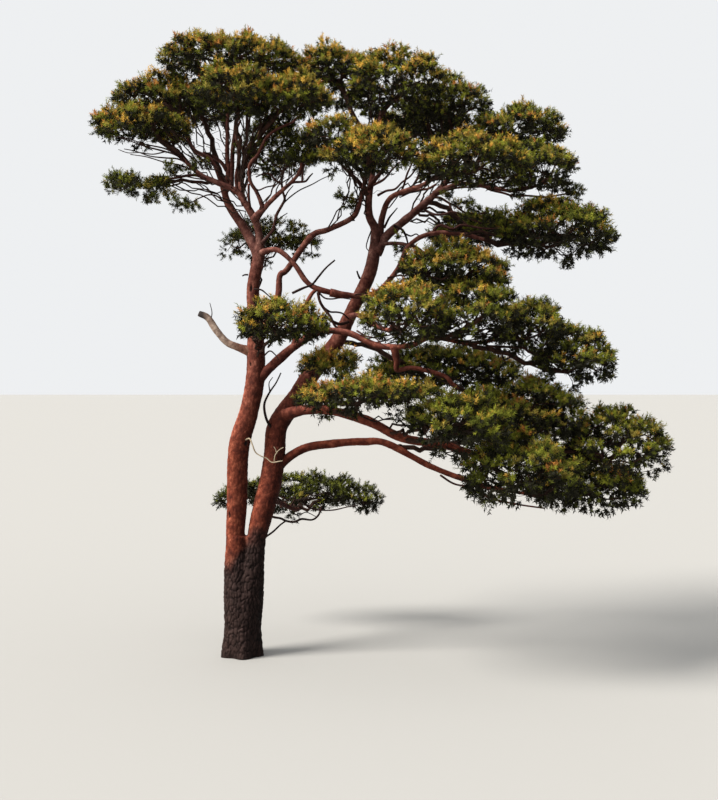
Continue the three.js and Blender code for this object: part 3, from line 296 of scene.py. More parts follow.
# Sprigs of needles on side limbs: middles of their clumps
sprigs = {
    "westSprig": ("sprigLimb", [(-0.97, -0.52, 7.11), (-0.91, -0.3, 7.1), (-0.78, -0.4, 7.1),
        (-0.7, -0.24, 7.11), (-0.82, -0.46, 7.17)]),
    "innerWestSprig": ("lowWestLimb", [(-1.12, -0.42, 7.67), (-1.07, -0.2, 7.65), (-0.94, -0.3, 7.7),
        (-0.86, -0.14, 7.68), (-0.71, -0.36, 7.7), (-1.06, -0.42, 7.71)]),
    "braceSprig": ("westBrace", [(-0.61, -0.12, 7.83), (-0.75, 0.1, 7.93), (-0.53, 0, 7.82)]),
    "thicketSprig": ("thicketMiddle", [(0.33, -0.17, 7.75), (0.44, 0.05, 7.76), (0.54, -0.05, 7.68),
        (0.64, 0.11, 7.81), (0.52, -0.11, 7.89), (0.71, -0.17, 7.88), (0.38, 0.05, 7.64)]),
    "hookSprig": ("innerTip", [(0.37, -0.42, 8.06), (0.46, -0.2, 8.14), (0.58, -0.3, 8.15),
        (0.68, -0.14, 8.27), (0.8, -0.36, 8.12)]),
    "eastSprig": ("sprigStemEast", [(1.57, -0.52, 7.25), (1.66, -0.3, 7.21), (1.75, -0.4, 7.23),
        (1.8, -0.24, 7.14), (1.72, -0.46, 7.09)]),
    "shadeSprigOne": ("shadeLimbOne", [(3.22, 0.08, 7.32), (3.34, 0.3, 7.39), (3.44, 0.2, 7.23),
        (3.57, 0.36, 7.25), (3.66, 0.14, 7.17), (3.77, 0.08, 7.11), (3.92, 0.3, 7.13), (4.04, 0.2, 7.08),
        (3.68, 0.36, 7.29)]),
    "shadeSprigTwo": ("shadeLimbTwo", [(3.5, -0.02, 6.96), (3.65, 0.2, 7.02), (3.75, 0.1, 6.99),
        (3.9, 0.26, 6.98), (3.99, 0.04, 6.92), (4.09, -0.02, 6.97), (3.81, 0.2, 6.86), (3.96, 0.1, 6.83)]),
    "eastKnob": ("eastLowLimb", [(5.22, -0.12, 7.34), (5.34, 0.1, 7.45), (5.4, 0, 7.4), (5.37, 0.16, 7.34),
        (5.18, -0.06, 7.25)]),
    "deadHandSprig": ("deadHand", [(2.5, 0.08, 6.7), (2.59, 0.3, 6.53), (2.48, 0.2, 6.49)]),
}

# Camera, light and floor
cameraSettings = {
    "place": (1.863, -18.0, 4.33),
    "focalPixels": 1130.0,
    "imageHeight": 800,
    "horizonRow": 383,
    "sensor": 36.0,
}
lightSettings = {
    "skyColour": (0.93, 0.945, 0.96, 1.0),
    "skyStrength": 0.92,
    "sunFrom": (-0.95, -0.4, 1.0),
    "sunStrength": 5.2,
    "sunSpread": 25,
    "sunColour": (1.0, 0.97, 0.92),
    "floorColour": (0.4, 0.39, 0.37, 1.0),
    "floorRoughness": 0.9,
    "floorSize": 400.0,
}


def feed(tree, socket, value):
    # Sets a socket to a value, or links it to the socket that feeds it
    if isinstance(value, bpy.types.NodeSocket):
        tree.links.new(value, socket)
    else:
        socket.default_value = value


def addNode(tree, kind, inputs=None, **settings):
    made = tree.nodes.new(kind)
    for name, value in settings.items():
        setattr(made, name, value)
    for name, value in (inputs or {}).items():
        feed(tree, made.inputs[name], value)
    return made


def newMaterial(name, roughness, shine=0.12):
    material = bpy.data.materials.new(name)
    material.use_nodes = True
    shader = material.node_tree.nodes["Principled BSDF"]
    shader.inputs["Roughness"].default_value = roughness
    shader.inputs["Specular IOR Level"].default_value = shine
    return material, material.node_tree, shader


def ramp(tree, factor, stops):
    # A colour ramp with (position, colour) stops
    made = addNode(tree, "ShaderNodeValToRGB", {"Fac": factor})
    band = made.color_ramp.elements
    band[0].position, band[0].color = stops[0][0], (*stops[0][1], 1)
    band[1].position, band[1].color = stops[-1][0], (*stops[-1][1], 1)
    for place, colour in stops[1:-1]:
        stop = band.new(place)
        stop.color = (*colour, 1)
    return made.outputs["Color"]


def mixColours(tree, factor, first, second, way="MIX"):
    inputs = {0: factor, 6: first, 7: second}
    return addNode(tree, "ShaderNodeMix", inputs, data_type="RGBA", blend_type=way).outputs[2]


def tinted(tree, colour, tint):
    return mixColours(tree, 1.0, colour, tint, "MULTIPLY")


def noiseOf(tree, place, scale, detail, roughness=0.5):
    inputs = {"Vector": place, "Scale": scale, "Detail": detail, "Roughness": roughness}
    return addNode(tree, "ShaderNodeTexNoise", inputs).outputs["Fac"]


def rangeOf(tree, value, fromLow, fromHigh, toLow=0.0, toHigh=1.0):
    # The value carried over from one range to another and kept inside it
    inputs = {"Value": value, "From Min": fromLow, "From Max": fromHigh, "To Min": toLow, "To Max": toHigh}
    return addNode(tree, "ShaderNodeMapRange", inputs).outputs["Result"]


def product(tree, first, second):
    return addNode(tree, "ShaderNodeMath", {0: first, 1: second}, operation="MULTIPLY").outputs[0]


def finishMaterial(tree, shader, colour, height, strength, distance):
    # The colour and a fine bump go into the shader
    feed(tree, shader.inputs["Base Color"], colour)
    bump = addNode(tree, "ShaderNodeBump", {"Height": height, "Strength": strength, "Distance": distance})
    feed(tree, shader.inputs["Normal"], bump.outputs["Normal"])


def setStage():
    settings = lightSettings
    world = bpy.data.worlds.new("paleSky")
    world.use_nodes = True
    sky = world.node_tree.nodes["Background"]
    sky.inputs["Color"].default_value = settings["skyColour"]
    sky.inputs["Strength"].default_value = settings["skyStrength"]
    bpy.context.scene.world = world
    sunData = bpy.data.lights.new("softSun", "SUN")
    sunData.energy = settings["sunStrength"]
    sunData.angle = math.radians(settings["sunSpread"])
    sunData.color = settings["sunColour"]
    sun = bpy.data.objects.new("softSun", sunData)
    sun.rotation_euler = Vector(settings["sunFrom"]).to_track_quat("Z", "Y").to_euler()
    bpy.context.scene.collection.objects.link(sun)
    side = settings["floorSize"]
    corners = np.array([(-side, -side, 0), (side, -side, 0), (side, side, 0), (-side, side, 0)], float)
    material, _, shader = newMaterial("paleFloor", settings["floorRoughness"])
    shader.inputs["Base Color"].default_value = settings["floorColour"]
    meshPiece("floor", corners, np.array([[0, 1, 2, 3]]), material)
    bpy.context.scene.view_settings.view_transform = "Standard"


def addCamera():
    settings = cameraSettings
    data = bpy.data.cameras.new("viewCamera")
    data.sensor_width = settings["sensor"]
    data.lens = settings["sensor"] * settings["focalPixels"] / settings["imageHeight"]
    data.shift_y = settings["horizonRow"] / settings["imageHeight"] - 0.5
    camera = bpy.data.objects.new("viewCamera", data)
    camera.location = settings["place"]
    camera.rotation_euler = (math.pi / 2, 0, 0)
    bpy.context.scene.collection.objects.link(camera)
    bpy.context.scene.camera = camera


def markPoints(mesh, marks):
    # Marks are named numbers, one for each point
    for mark, values in marks.items():
        attribute = mesh.attributes.new(mark, "FLOAT", "POINT")
        attribute.data.foreach_set("value", np.asarray(values, np.float32))


def meshPiece(name, points, faces, material, smooth=False, marks=None):
    # A mesh object from arrays
    mesh = bpy.data.meshes.new(name)
    mesh.vertices.add(len(points))
    mesh.vertices.foreach_set("co", np.asarray(points, np.float32).ravel())
    mesh.loops.add(faces.size)
    mesh.loops.foreach_set("vertex_index", np.asarray(faces, np.int32).ravel())
    mesh.polygons.add(len(faces))
    mesh.polygons.foreach_set("loop_start", np.arange(0, faces.size, faces.shape[1], dtype=np.int32))
    mesh.update(calc_edges=True)
    mesh.polygons.foreach_set("use_smooth", np.full(len(faces), smooth))
    markPoints(mesh, marks or {})
    mesh.materials.append(material)
    piece = bpy.data.objects.new(name, mesh)
    bpy.context.scene.collection.objects.link(piece)
    return piece


def wear(piece, slot, *nodes):
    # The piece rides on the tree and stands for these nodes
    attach(piece, "root")
    if nodes:
        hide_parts(*nodes)


# Noise for the bark's relief
noiseSettings = {
    "cellFactors": (374761393, 668265263, 1440662683), "seedFactor": 974711,
    "stirFactors": (1274126177, 2246822519), "shifts": (13, 15, 16), "mask": 0x7FFFFFFF, "levels": 65536,
    "far": 9.0, "crackWidth": 0.35,
}
# Seeds of the bark's noises, of the first mass's growth and shoots, and of the needles
seeds = {
    "plateBend": (1, 2, 3), "flakeBend": 4, "darkEdge": 5, "plateNoise": 6, "swell": 7, "gnarl": 8,
    "plates": 11, "stemFlakes": 21, "boughFlakes": 31, "firstMass": 1, "firstShoots": 1000, "needles": 77,
}


def cornerValue(cells, seed):
    # A number from 0 to 1 for each cell corner, always the same for the same corner
    settings = noiseSettings
    mixed = seed * settings["seedFactor"]
    for axis, factor in enumerate(settings["cellFactors"]):
        mixed = mixed + cells[..., axis] * factor
    for shift, factor in zip(settings["shifts"], settings["stirFactors"]):
        mixed = (mixed ^ (mixed >> shift)) * factor & settings["mask"]
    mixed = mixed ^ (mixed >> settings["shifts"][-1])
    return mixed % settings["levels"] / (settings["levels"] - 1)


def eased(share):
    return share * share * (3 - 2 * share)


def smoothStep(value, low, high):
    return eased(np.clip((value - low) / (high - low), 0, 1))


def softNoise(points, scale, seed):
    # Smooth noise from -1 to 1
    spread = points * scale
    cell = np.floor(spread).astype(np.int64)
    share = eased(spread - cell)
    total = np.zeros(len(points))
    for corner in np.ndindex(2, 2, 2):
        weight = np.prod(np.where(corner, share, 1 - share), axis=1)
        total += weight * cornerValue(cell + np.array(corner), seed)
    return total * 2 - 1


def plateGaps(points, scale, seed):
    # How far a point is from the edge of its plate: 0 in a crack and 1 well inside
    spread = points * scale
    cell = np.floor(spread).astype(np.int64)
    nearest = np.full(len(points), noiseSettings["far"])
    second = nearest.copy()
    for step in np.ndindex(3, 3, 3):
        other = cell + np.array(step) - 1
        seat = other + np.stack([cornerValue(other, seed + axis) for axis in range(3)], axis=1)
        away = np.linalg.norm(seat - spread, axis=1)
        second = np.minimum(second, np.maximum(away, nearest))
        nearest = np.minimum(nearest, away)
    return np.clip((second - nearest) / noiseSettings["crackWidth"], 0, 1)


# Lines and tubes
lineSettings = {"shortest": 1e-6, "steepFrom": 0.9}


def unit(way):
    return way / max(np.linalg.norm(way), lineSettings["shortest"])


def unitRows(rows):
    return rows / np.linalg.norm(rows, axis=-1, keepdims=True)


def alongLimb(wayPoints, spacing):
    # Points and radii along a smooth curve through a limb's way-points
    marks = np.array(wayPoints, float)
    padded = np.vstack([2 * marks[0] - marks[1], marks, 2 * marks[-1] - marks[-2]])
    points, radii = [], []
    for span in range(len(marks) - 1):
        a, b, c, d = padded[span:span + 4, :3]
        steps = max(2, int(np.linalg.norm(c - b) / spacing + 0.5))
        share = (np.arange(steps) / steps)[:, None]
        points.append(0.5 * (2 * b + (c - a) * share + (2 * a - 5 * b + 4 * c - d) * share ** 2
                             + (3 * b - a - 3 * c + d) * share ** 3))
        radii.append((marks[span, 3] + (marks[span + 1, 3] - marks[span, 3]) * share[:, 0]) / 2)
    points.append(marks[-1:, :3])
    radii.append(marks[-1:, 3] / 2)
    return np.vstack(points), np.concatenate(radii)


def frameAlong(points):
    # Two directions square to the line at each point, turned as little as possible
    ahead = unitRows(np.gradient(points, axis=0))
    isSteep = abs(ahead[0, 2]) >= lineSettings["steepFrom"]
    across = np.cross(ahead[0], (0, 1.0, 0) if isSteep else (0, 0, 1.0))
    sides, ups = [], []
    for direction in ahead:
        across = across - direction * (across @ direction)
        across = across / np.linalg.norm(across)
        sides.append(across)
        ups.append(np.cross(direction, across))
    return np.array(sides), np.array(ups)


def turnsOf(sides):
    return np.arange(sides) / sides * 2 * math.pi


def skinOf(rings, firstEnd, lastEnd):
    # Points and triangles of a skin over rings, closed by a middle point at each end
    rows, sides = rings.shape[:2]
    ring = np.arange(rows - 1)[:, None] * sides
    side = np.arange(sides)[None, :]
    after = (side + 1) % sides
    walls = np.stack([ring + side, ring + after, ring + sides + after, ring + sides + side], axis=-1)
    walls = walls.reshape(-1, 4)
    foot = rows * sides
    last = foot - sides
    foots = np.stack([after[0], side[0], np.full(sides, foot)], axis=1)
    tops = np.stack([last + side[0], last + after[0], np.full(sides, foot + 1)], axis=1)
    points = np.vstack([rings.reshape(-1, 3), firstEnd, lastEnd])
    return points, np.vstack([walls[:, [0, 1, 2]], walls[:, [0, 2, 3]], foots, tops])


def tube(points, radii, sides):
    # A closed tube round a line
    across, up = frameAlong(points)
    turn = turnsOf(sides)
    rings = points[:, None] + radii[:, None, None] * (
        across[:, None] * np.cos(turn)[None, :, None] + up[:, None] * np.sin(turn)[None, :, None])
    return skinOf(rings, points[0], points[-1])


class Heap:
    # Collects meshes into one
    def __init__(self):
        self.points, self.faces, self.count = [], [], 0

    def add(self, points, faces):
        self.points.append(points)
        self.faces.append(faces + self.count)
        self.count += len(points)

    def merged(self):
        return np.vstack(self.points), np.vstack(self.faces)


# The trunk's section, as in the part: a lobed round at the ground, two joined rounds under the fork
trunkSettings = {
    "forkHeight": 1.9, "forkCentre": 0.068, "forkHalfSpread": 0.15, "spreadFrom": 0.15,
    "groundRadius": 0.268, "waistRadius": 0.262, "waistShare": 0.5, "forkRadius": 0.164, "narrowFrom": 0.35,
    "flareReach": 0.09, "flareHeight": 0.3, "rootLobes": 5, "lobeTurn": 0.6, "lobeDepth": 0.45,
    "leanPower": 1.5, "sides": 64, "rings": 60, "footDepth": 0.06,
}


def trunkTube():
    settings = trunkSettings
    ground, fork = settings["groundRadius"], settings["forkRadius"]
    turn = turnsOf(settings["sides"])
    rings = []
    for height in np.linspace(-settings["footDepth"], settings["forkHeight"], settings["rings"]):
        rise = max(height, 0) / settings["forkHeight"]
        spread = settings["forkHalfSpread"] * smoothStep(rise, settings["spreadFrom"], 1)
        body = ground + (settings["waistRadius"] - ground) * min(rise / settings["waistShare"], 1)
        radius = body + (fork - body) * smoothStep(rise, settings["narrowFrom"], 1)
        flare = settings["flareReach"] * math.exp(-max(height, 0) / settings["flareHeight"])
        lobe = 1 - settings["lobeDepth"] * (1 - np.cos(settings["rootLobes"] * turn + settings["lobeTurn"]))
        reach = spread * np.abs(np.cos(turn)) + np.sqrt(
            np.maximum(radius ** 2 - (spread * np.sin(turn)) ** 2, 0)) + flare * lobe
        centre = settings["forkCentre"] * rise ** settings["leanPower"]
        level = np.full(len(turn), height)
        rings.append(np.stack([centre + reach * np.cos(turn), reach * np.sin(turn), level], axis=1))
    rings = np.array(rings)
    return skinOf(rings, rings[0].mean(0), rings[-1].mean(0))


# Stems: one skin from the foot to the leaders, with dark plates low down and thin flakes above
stemNames = ("left_stem", "right_stem", "left_leader", "right_leader")
stemSettings = {
    "rootedPoints": {"left_stem": (-0.06, 0, 1.5, 0.28), "right_stem": (0.17, 0, 1.5, 0.29)},
    "spacing": 0.05, "sides": 28, "voxel": 0.014, "smoothing": 3, "smoothFactor": 0.5,
    "bendScale": 9.0, "plateBend": 0.035, "flakeBend": 0.02,
    "plateScale": (17.0, 17.0, 6.5), "plateDepth": 0.015, "plateMiddle": 0.75,
    "plateNoise": 0.007, "plateNoiseScale": 26.0, "plateEdge": 0.8, "plateWall": 0.6,
    "flakeScale": (17.0, 17.0, 9.0), "flakeDepth": 0.006, "flakeMiddle": 0.6, "flakeShade": 0.35,
    "swellScale": 2.6, "swellDepth": 0.016, "swellStretch": (1, 1, 0.5),
    "darkTopLeft": 1.52, "darkTopRight": 1.95, "darkBetween": (-0.12, 0.12), "darkFade": 0.2,
    "darkEdgeNoise": 0.132, "darkEdgeScale": 4.0,
    "calmBelow": 0.12, "slimFrom": 5.0, "slimTo": 7.2, "slimLoss": 0.75,
}
# Scars of lost limbs: x, y, z, half width and half height
scars = [
    (0.162, -0.22, 5.83, 0.03, 0.085), (0.16, -0.2, 4.62, 0.02, 0.05), (0.36, -0.12, 3.1, 0.03, 0.06),
    (-0.19, -0.13, 2.24, 0.018, 0.06), (0.09, -0.15, 3.37, 0.035, 0.05),
]
scarSettings = {"reachIn": 0.08, "edge": (0.45, 1.1), "depth": 0.03}


def readMesh(mesh):
    # Points and normals of a mesh
    points = np.zeros(len(mesh.vertices) * 3, np.float32)
    mesh.vertices.foreach_get("co", points)
    normals = np.zeros(len(mesh.vertices) * 3, np.float32)
    mesh.vertex_normals.foreach_get("vector", normals)
    return points.reshape(-1, 3).astype(float), normals.reshape(-1, 3).astype(float)


def darkShare(points):
    # How much of the dark plated bark of the foot is at a point: it climbs higher on the right
    settings = stemSettings
    left, right = settings["darkTopLeft"], settings["darkTopRight"]
    edge = left + (right - left) * smoothStep(points[:, 0], *settings["darkBetween"])
    edge = edge + settings["darkEdgeNoise"] * softNoise(points, settings["darkEdgeScale"], seeds["darkEdge"])
    return 1 - smoothStep(points[:, 2], edge - settings["darkFade"], edge + settings["darkFade"])


def scarShare(points):
    settings = scarSettings
    scarred = np.zeros(len(points))
    for x, y, z, width, height in scars:
        away = np.linalg.norm((points - (x, y, z)) / (width, settings["reachIn"], height), axis=1)
        scarred = np.maximum(scarred, 1 - smoothStep(away, *settings["edge"]))
    return scarred


def fuseStems(material):
    # Trunk, stems and leaders fused into one even skin that ends flat at the ground
    settings = stemSettings
    heap = Heap()
    heap.add(*trunkTube())
    for name in stemNames:
        wayPoints = limbLines[name]
        if name in settings["rootedPoints"]:
            wayPoints = [settings["rootedPoints"][name], *wayPoints]
        points, radii = alongLimb(wayPoints, settings["spacing"])
        heap.add(*tube(points, radii, settings["sides"]))
    piece = meshPiece("stemBark", *heap.merged(), material)
    remesh = piece.modifiers.new("fuse", "REMESH")
    remesh.mode = "VOXEL"
    remesh.voxel_size = settings["voxel"]
    even = piece.modifiers.new("even", "SMOOTH")
    even.factor = settings["smoothFactor"]
    even.iterations = settings["smoothing"]
    fused = bpy.data.meshes.new_from_object(piece.evaluated_get(bpy.context.evaluated_depsgraph_get()))
    piece.modifiers.clear()
    piece.data = fused
    cutFoot(fused)
    return piece


def cutFoot(mesh):
    body = bmesh.new()
    body.from_mesh(mesh)
    geometry = body.verts[:] + body.edges[:] + body.faces[:]
    bmesh.ops.bisect_plane(body, geom=geometry, plane_co=(0, 0, 0), plane_no=(0, 0, 1), clear_inner=True)
    rim = [edge for edge in body.edges if edge.is_boundary]
    bmesh.ops.contextual_create(body, geom=rim)
    bmesh.ops.triangulate(body, faces=[face for face in body.faces if len(face.verts) > 4])
    body.to_mesh(mesh)
    body.free()


def addStemBark(material):
    settings = stemSettings
    piece = fuseStems(material)
    fused = piece.data
    points, normals = readMesh(fused)
    dark = darkShare(points)
    scarred = scarShare(points)
    scale = settings["bendScale"]
    bend = np.stack([softNoise(points, scale, seed) for seed in seeds["plateBend"]], axis=1)
    plates = plateGaps(points + settings["plateBend"] * bend, settings["plateScale"], seeds["plates"])
    bend = softNoise(points, scale, seeds["flakeBend"])[:, None]
    flakes = plateGaps(points + settings["flakeBend"] * bend, settings["flakeScale"], seeds["stemFlakes"])
    shade = settings["flakeShade"]
    # relief: 0 in the cracks between plates and flakes, 1 on them; the bark darkens the cracks by it, partly
    # its own colour and partly painted shade
    relief = dark * smoothStep(plates, 0, settings["plateEdge"])
    relief = relief + (1 - dark) * (shade + (1 - shade) * flakes)
    rough = softNoise(points, settings["plateNoiseScale"], seeds["plateNoise"])
    lift = dark * (settings["plateDepth"] * (smoothStep(plates, 0, settings["plateWall"])
                                             - settings["plateMiddle"]) + settings["plateNoise"] * rough)
    lift = lift + (1 - dark) * (settings["flakeDepth"] * (flakes - settings["flakeMiddle"]))
    swell = softNoise(points * settings["swellStretch"], settings["swellScale"], seeds["swell"])
    lift = lift + settings["swellDepth"] * swell
    height = points[:, 2]
    lift = lift * (1 - settings["slimLoss"] * smoothStep(height, settings["slimFrom"], settings["slimTo"]))
    lift = lift - scarSettings["depth"] * scarred
    lift = lift * smoothStep(height, 0, settings["calmBelow"])
    points = points + normals * lift[:, None]
    points[:, 2] = np.maximum(points[:, 2], 0)
    fused.vertices.foreach_set("co", points.astype(np.float32).ravel())
    fused.update()
    fused.polygons.foreach_set("use_smooth", np.ones(len(fused.polygons), bool))
    markPoints(fused, {"relief": relief, "dark": dark, "scar": scarred})
    fused.materials.clear()
    fused.materials.append(material)
    wear(piece, "upper_bark", "trunk", *stemNames)
    print(piece.name, len(fused.polygons), "faces")


# Boughs, side limbs and dead wood
limbSettings = {
    "spacing": 0.032, "sides": 16, "thinSides": 11, "thinBelow": 0.1, "twigSides": 7, "twigBelow": 0.045,
    "collarSwell": 0.55, "collarReach": 0.2, "gnarlScale": 5.5, "gnarl": 0.13, "largestLift": 0.03,
    "flakeScale": (22.0, 22.0, 22.0), "flakeDepth": 0.05, "flakeMiddle": 0.5, "flakeShade": 0.3,
}


def sidesFor(thick):
    settings = limbSettings
    if thick < settings["twigBelow"]:
        return settings["twigSides"]
    return settings["thinSides" if thick < settings["thinBelow"] else "sides"]


def limbTube(wayPoints, hasCollar):
    # One gnarled, flaking limb: its points, triangles and relief
    settings = limbSettings
    points, radii = alongLimb(wayPoints, settings["spacing"])
    if hasCollar:
        along = np.concatenate([[0], np.cumsum(np.linalg.norm(np.diff(points, axis=0), axis=1))])
        radii = radii * (1 + settings["collarSwell"] * np.exp(-(along / settings["collarReach"]) ** 2))
    sides = sidesFor(wayPoints[0][3])
    made, faces = tube(points, radii, sides)
    middle = np.vstack([np.repeat(points, sides, axis=0), points[:1], points[-1:]])
    width = np.concatenate([np.repeat(radii, sides), radii[:1], radii[-1:]])
    flakes = plateGaps(made, settings["flakeScale"], seeds["boughFlakes"])
    share = settings["gnarl"] * softNoise(made, settings["gnarlScale"], seeds["gnarl"])
    share = share + settings["flakeDepth"] * (flakes - settings["flakeMiddle"])
    share = np.minimum(share, settings["largestLift"] / width)
    shade = settings["flakeShade"]
    # The third array is the relief, by which the bark darkens the cracks, partly its own colour and partly
    # painted shade
    return middle + (made - middle) * (1 + share)[:, None], faces, shade + (1 - shade) * flakes


def addLimbs(pieceName, material, slot, limbs, nodes=()):
    # Limbs joined into one piece, each of them way-points and a darkness; those of the part have collars
    heap, relief, darkness = Heap(), [], []
    for wayPoints, dark in limbs:
        points, faces, flakes = limbTube(wayPoints, bool(nodes))
        heap.add(points, faces)
        relief.append(flakes)
        darkness.append(np.full(len(points), dark))
    relief, darkness = np.concatenate(relief), np.concatenate(darkness)
    marks = {"relief": relief, "dark": darkness, "scar": np.zeros(len(relief))}
    piece = meshPiece(pieceName, *heap.merged(), material, smooth=True, marks=marks)
    wear(piece, slot, *nodes)
    print(piece.name, len(piece.data.polygons), "faces")


def sideLine(name):
    # Way-points of a side limb with the thickness at each
    _, first, last, places = sideLimbs[name]
    return [(*place, first + (last - first) * share)
            for place, share in zip(places, np.linspace(0, 1, len(places)))]


def addAllLimbs(bark):
    deadWood = deadWoodMaterial()
    boughs = [name for name in limbLines if name not in (*stemNames, "dead_snag")]
    addLimbs("boughBark", bark, "upper_bark", [(limbLines[name], 0) for name in boughs], boughs)
    addLimbs("deadSnag", deadWood, "dead_wood", [(limbLines["dead_snag"], 0)], ("dead_snag",))
    sides = {name: (sideLine(name), sideLimbs[name][0]) for name in sideLimbs}
    addLimbs("sideLimbs", bark, "upper_bark", [sides[name] for name in sides if name not in paleTwigs])
    bleached = speckledMaterial("bleachedWood", "wood", *speckleSettings["bleached"])
    addLimbs("paleTwigs", bleached, "dead_wood", [sides[name] for name in paleTwigs])


# Bark: stops of each colour ramp, then single colours, noises and ranges
barkTones = {
    "orange": [(0.3, (0.056, 0.0122, 0.0076)), (0.5, (0.125, 0.0265, 0.0132)), (0.7, (0.245, 0.067, 0.035))],
    "rose": [(0.3, (0.062, 0.026, 0.022)), (0.5, (0.132, 0.059, 0.049)), (0.7, (0.275, 0.15, 0.124))],
    "lower": [(0.3, (0.011, 0.006, 0.005)), (0.55, (0.026, 0.0145, 0.0125)), (0.75, (0.05, 0.0305, 0.0265))],
    # Darker in the cracks between plates and flakes: partly the bark's own colour, partly painted shade in
    # the recesses
    "cracksAndShade": [(0.0, (0.34, 0.31, 0.3)), (0.45, (0.78, 0.76, 0.76)), (0.8, (1, 1, 1))],
    # Fine grain with dark specks, partly painted shadow under the bark scales
    "grain": [(0.3, (0.78, 0.76, 0.74)), (0.62, (1.1, 1.1, 1.1)), (0.66, (0.5, 0.42, 0.4))],
    # Painted light on faces towards the sun's side and painted shade on faces away from it
    "paintedSideLight": [(0.05, (1.6, 1.65, 1.6)), (0.5, (1, 1, 1)), (0.85, (0.46, 0.42, 0.42))],
    # Painted light on upward faces and painted shade on downward ones
    "paintedTopLight": [(0.3, (0.7, 0.64, 0.64)), (0.52, (1, 1, 1)), (0.9, (1.75, 1.85, 1.95))],
    # Painted shade: a darker tint for the bark between the stems and under the crown
    "paintedInnerShade": (0.6, 0.56, 0.58, 1),
    "scar": (0.012, 0.009, 0.008, 1),
}
barkSettings = {
    "roughness": 0.85, "patches": (9.0, 6.0, 0.62), "broad": (1.3, 3.0), "fine": (38.0, 3.0),
    # Where the painted shade on the bark falls: ranges of x and of height
    "roseWithHeight": (3.2, 7.0, 0.05, 1.3), "shadeRightOf": (0.24, 0.44), "shadeLeftOf": (1.35, 0.95),
    "shadeBelow": (5.4, 4.4), "bump": (0.5, 0.008),
}


def barkMaterial():
    settings, tones = barkSettings, barkTones
    material, tree, shader = newMaterial("pineBark", settings["roughness"])
    spot = addNode(tree, "ShaderNodeTexCoord")
    place = spot.outputs["Object"]
    across, _, height = addNode(tree, "ShaderNodeSeparateXYZ", {"Vector": place}).outputs
    paintedSideLight, _, paintedTopLight = addNode(tree, "ShaderNodeSeparateXYZ", {"Vector": spot.outputs["Normal"]}).outputs
    relief, dark, scar = [addNode(tree, "ShaderNodeAttribute", attribute_name=mark).outputs["Fac"]
                          for mark in ("relief", "dark", "scar")]
    patches = noiseOf(tree, place, *settings["patches"])
    broad = noiseOf(tree, place, *settings["broad"])
    fine = noiseOf(tree, place, *settings["fine"])
    orange, rose, lower = [ramp(tree, patches, tones[tone]) for tone in ("orange", "rose", "lower")]
    rosy = product(tree, rangeOf(tree, height, *settings["roseWithHeight"]), broad)
    upper = mixColours(tree, rosy, orange, rose)
    # Painted shade on the bark under the crown: full for x from 0.44 to 0.95 m below 4.4 m, fading out
    # towards x 0.24 and 1.35 m and towards 5.4 m up
    inside = product(tree, rangeOf(tree, across, *settings["shadeRightOf"]),
                     rangeOf(tree, across, *settings["shadeLeftOf"]))
    paintedInnerShade = product(tree, inside, rangeOf(tree, height, *settings["shadeBelow"]))
    upper = mixColours(tree, paintedInnerShade, upper, tinted(tree, upper, tones["paintedInnerShade"]))
    colour = mixColours(tree, dark, upper, lower)
    # Painted light and shade by the way the surface faces
    paintedSideLight, paintedTopLight = [rangeOf(tree, way, -1.0, 1.0) for way in (paintedSideLight, paintedTopLight)]
    for tone, factor in (("cracksAndShade", relief), ("grain", fine), ("paintedSideLight", paintedSideLight), ("paintedTopLight", paintedTopLight)):
        colour = tinted(tree, colour, ramp(tree, factor, tones[tone]))
    colour = mixColours(tree, scar, colour, tones["scar"])
    finishMaterial(tree, shader, colour, fine, *settings["bump"])
    return material


# Dead wood: brown near the stem, grey further out and dark at the broken tip
deadWoodSettings = {
    "grey": [(0.3, (0.11, 0.07, 0.055)), (0.52, (0.28, 0.2, 0.155)), (0.7, (0.47, 0.36, 0.28))],
    "brown": [(0.3, (0.07, 0.03, 0.022)), (0.55, (0.22, 0.1, 0.065)), (0.75, (0.33, 0.17, 0.12))],
    "tip": (0.045, 0.036, 0.033, 1), "roughness": 0.9, "grain": (14.0, 6.0, 0.65),
    "brownFrom": (-0.25, 0.02), "tipFrom": (-0.5, -0.6), "bump": (0.6, 0.01),
}


def deadWoodMaterial():
    settings = deadWoodSettings
    material, tree, shader = newMaterial("deadWood", settings["roughness"])
    place = addNode(tree, "ShaderNodeTexCoord").outputs["Object"]
    across = addNode(tree, "ShaderNodeSeparateXYZ", {"Vector": place}).outputs["X"]
    grain = noiseOf(tree, place, *settings["grain"])
    grey, brown = [ramp(tree, grain, settings[tone]) for tone in ("grey", "brown")]
    colour = mixColours(tree, rangeOf(tree, across, *settings["brownFrom"]), grey, brown)
    colour = mixColours(tree, rangeOf(tree, across, *settings["tipFrom"]), colour, settings["tip"])
    finishMaterial(tree, shader, colour, grain, *settings["bump"])
    return material


# Needles and small wood: two colours in soft patches
speckleSettings = {
    "needle": {"roughness": 0.65, "noise": (7.0, 3.0), "deepAt": 0.36, "lightAt": 0.64},
    "wood": {"roughness": 0.85, "noise": (12.0, 4.0), "deepAt": 0.35, "lightAt": 0.65},
    "shine": 0.06, "bleached": ((0.5, 0.41, 0.29), (0.26, 0.2, 0.13)),
}


def speckledMaterial(name, kind, light, deep):
    settings = speckleSettings[kind]
    material, tree, shader = newMaterial(name, settings["roughness"], speckleSettings["shine"])
    place = addNode(tree, "ShaderNodeTexCoord").outputs["Object"]
    noise = noiseOf(tree, place, *settings["noise"])
    colour = ramp(tree, noise, [(settings["deepAt"], deep), (settings["lightAt"], light)])
    feed(tree, shader.inputs["Base Color"], colour)
    return material


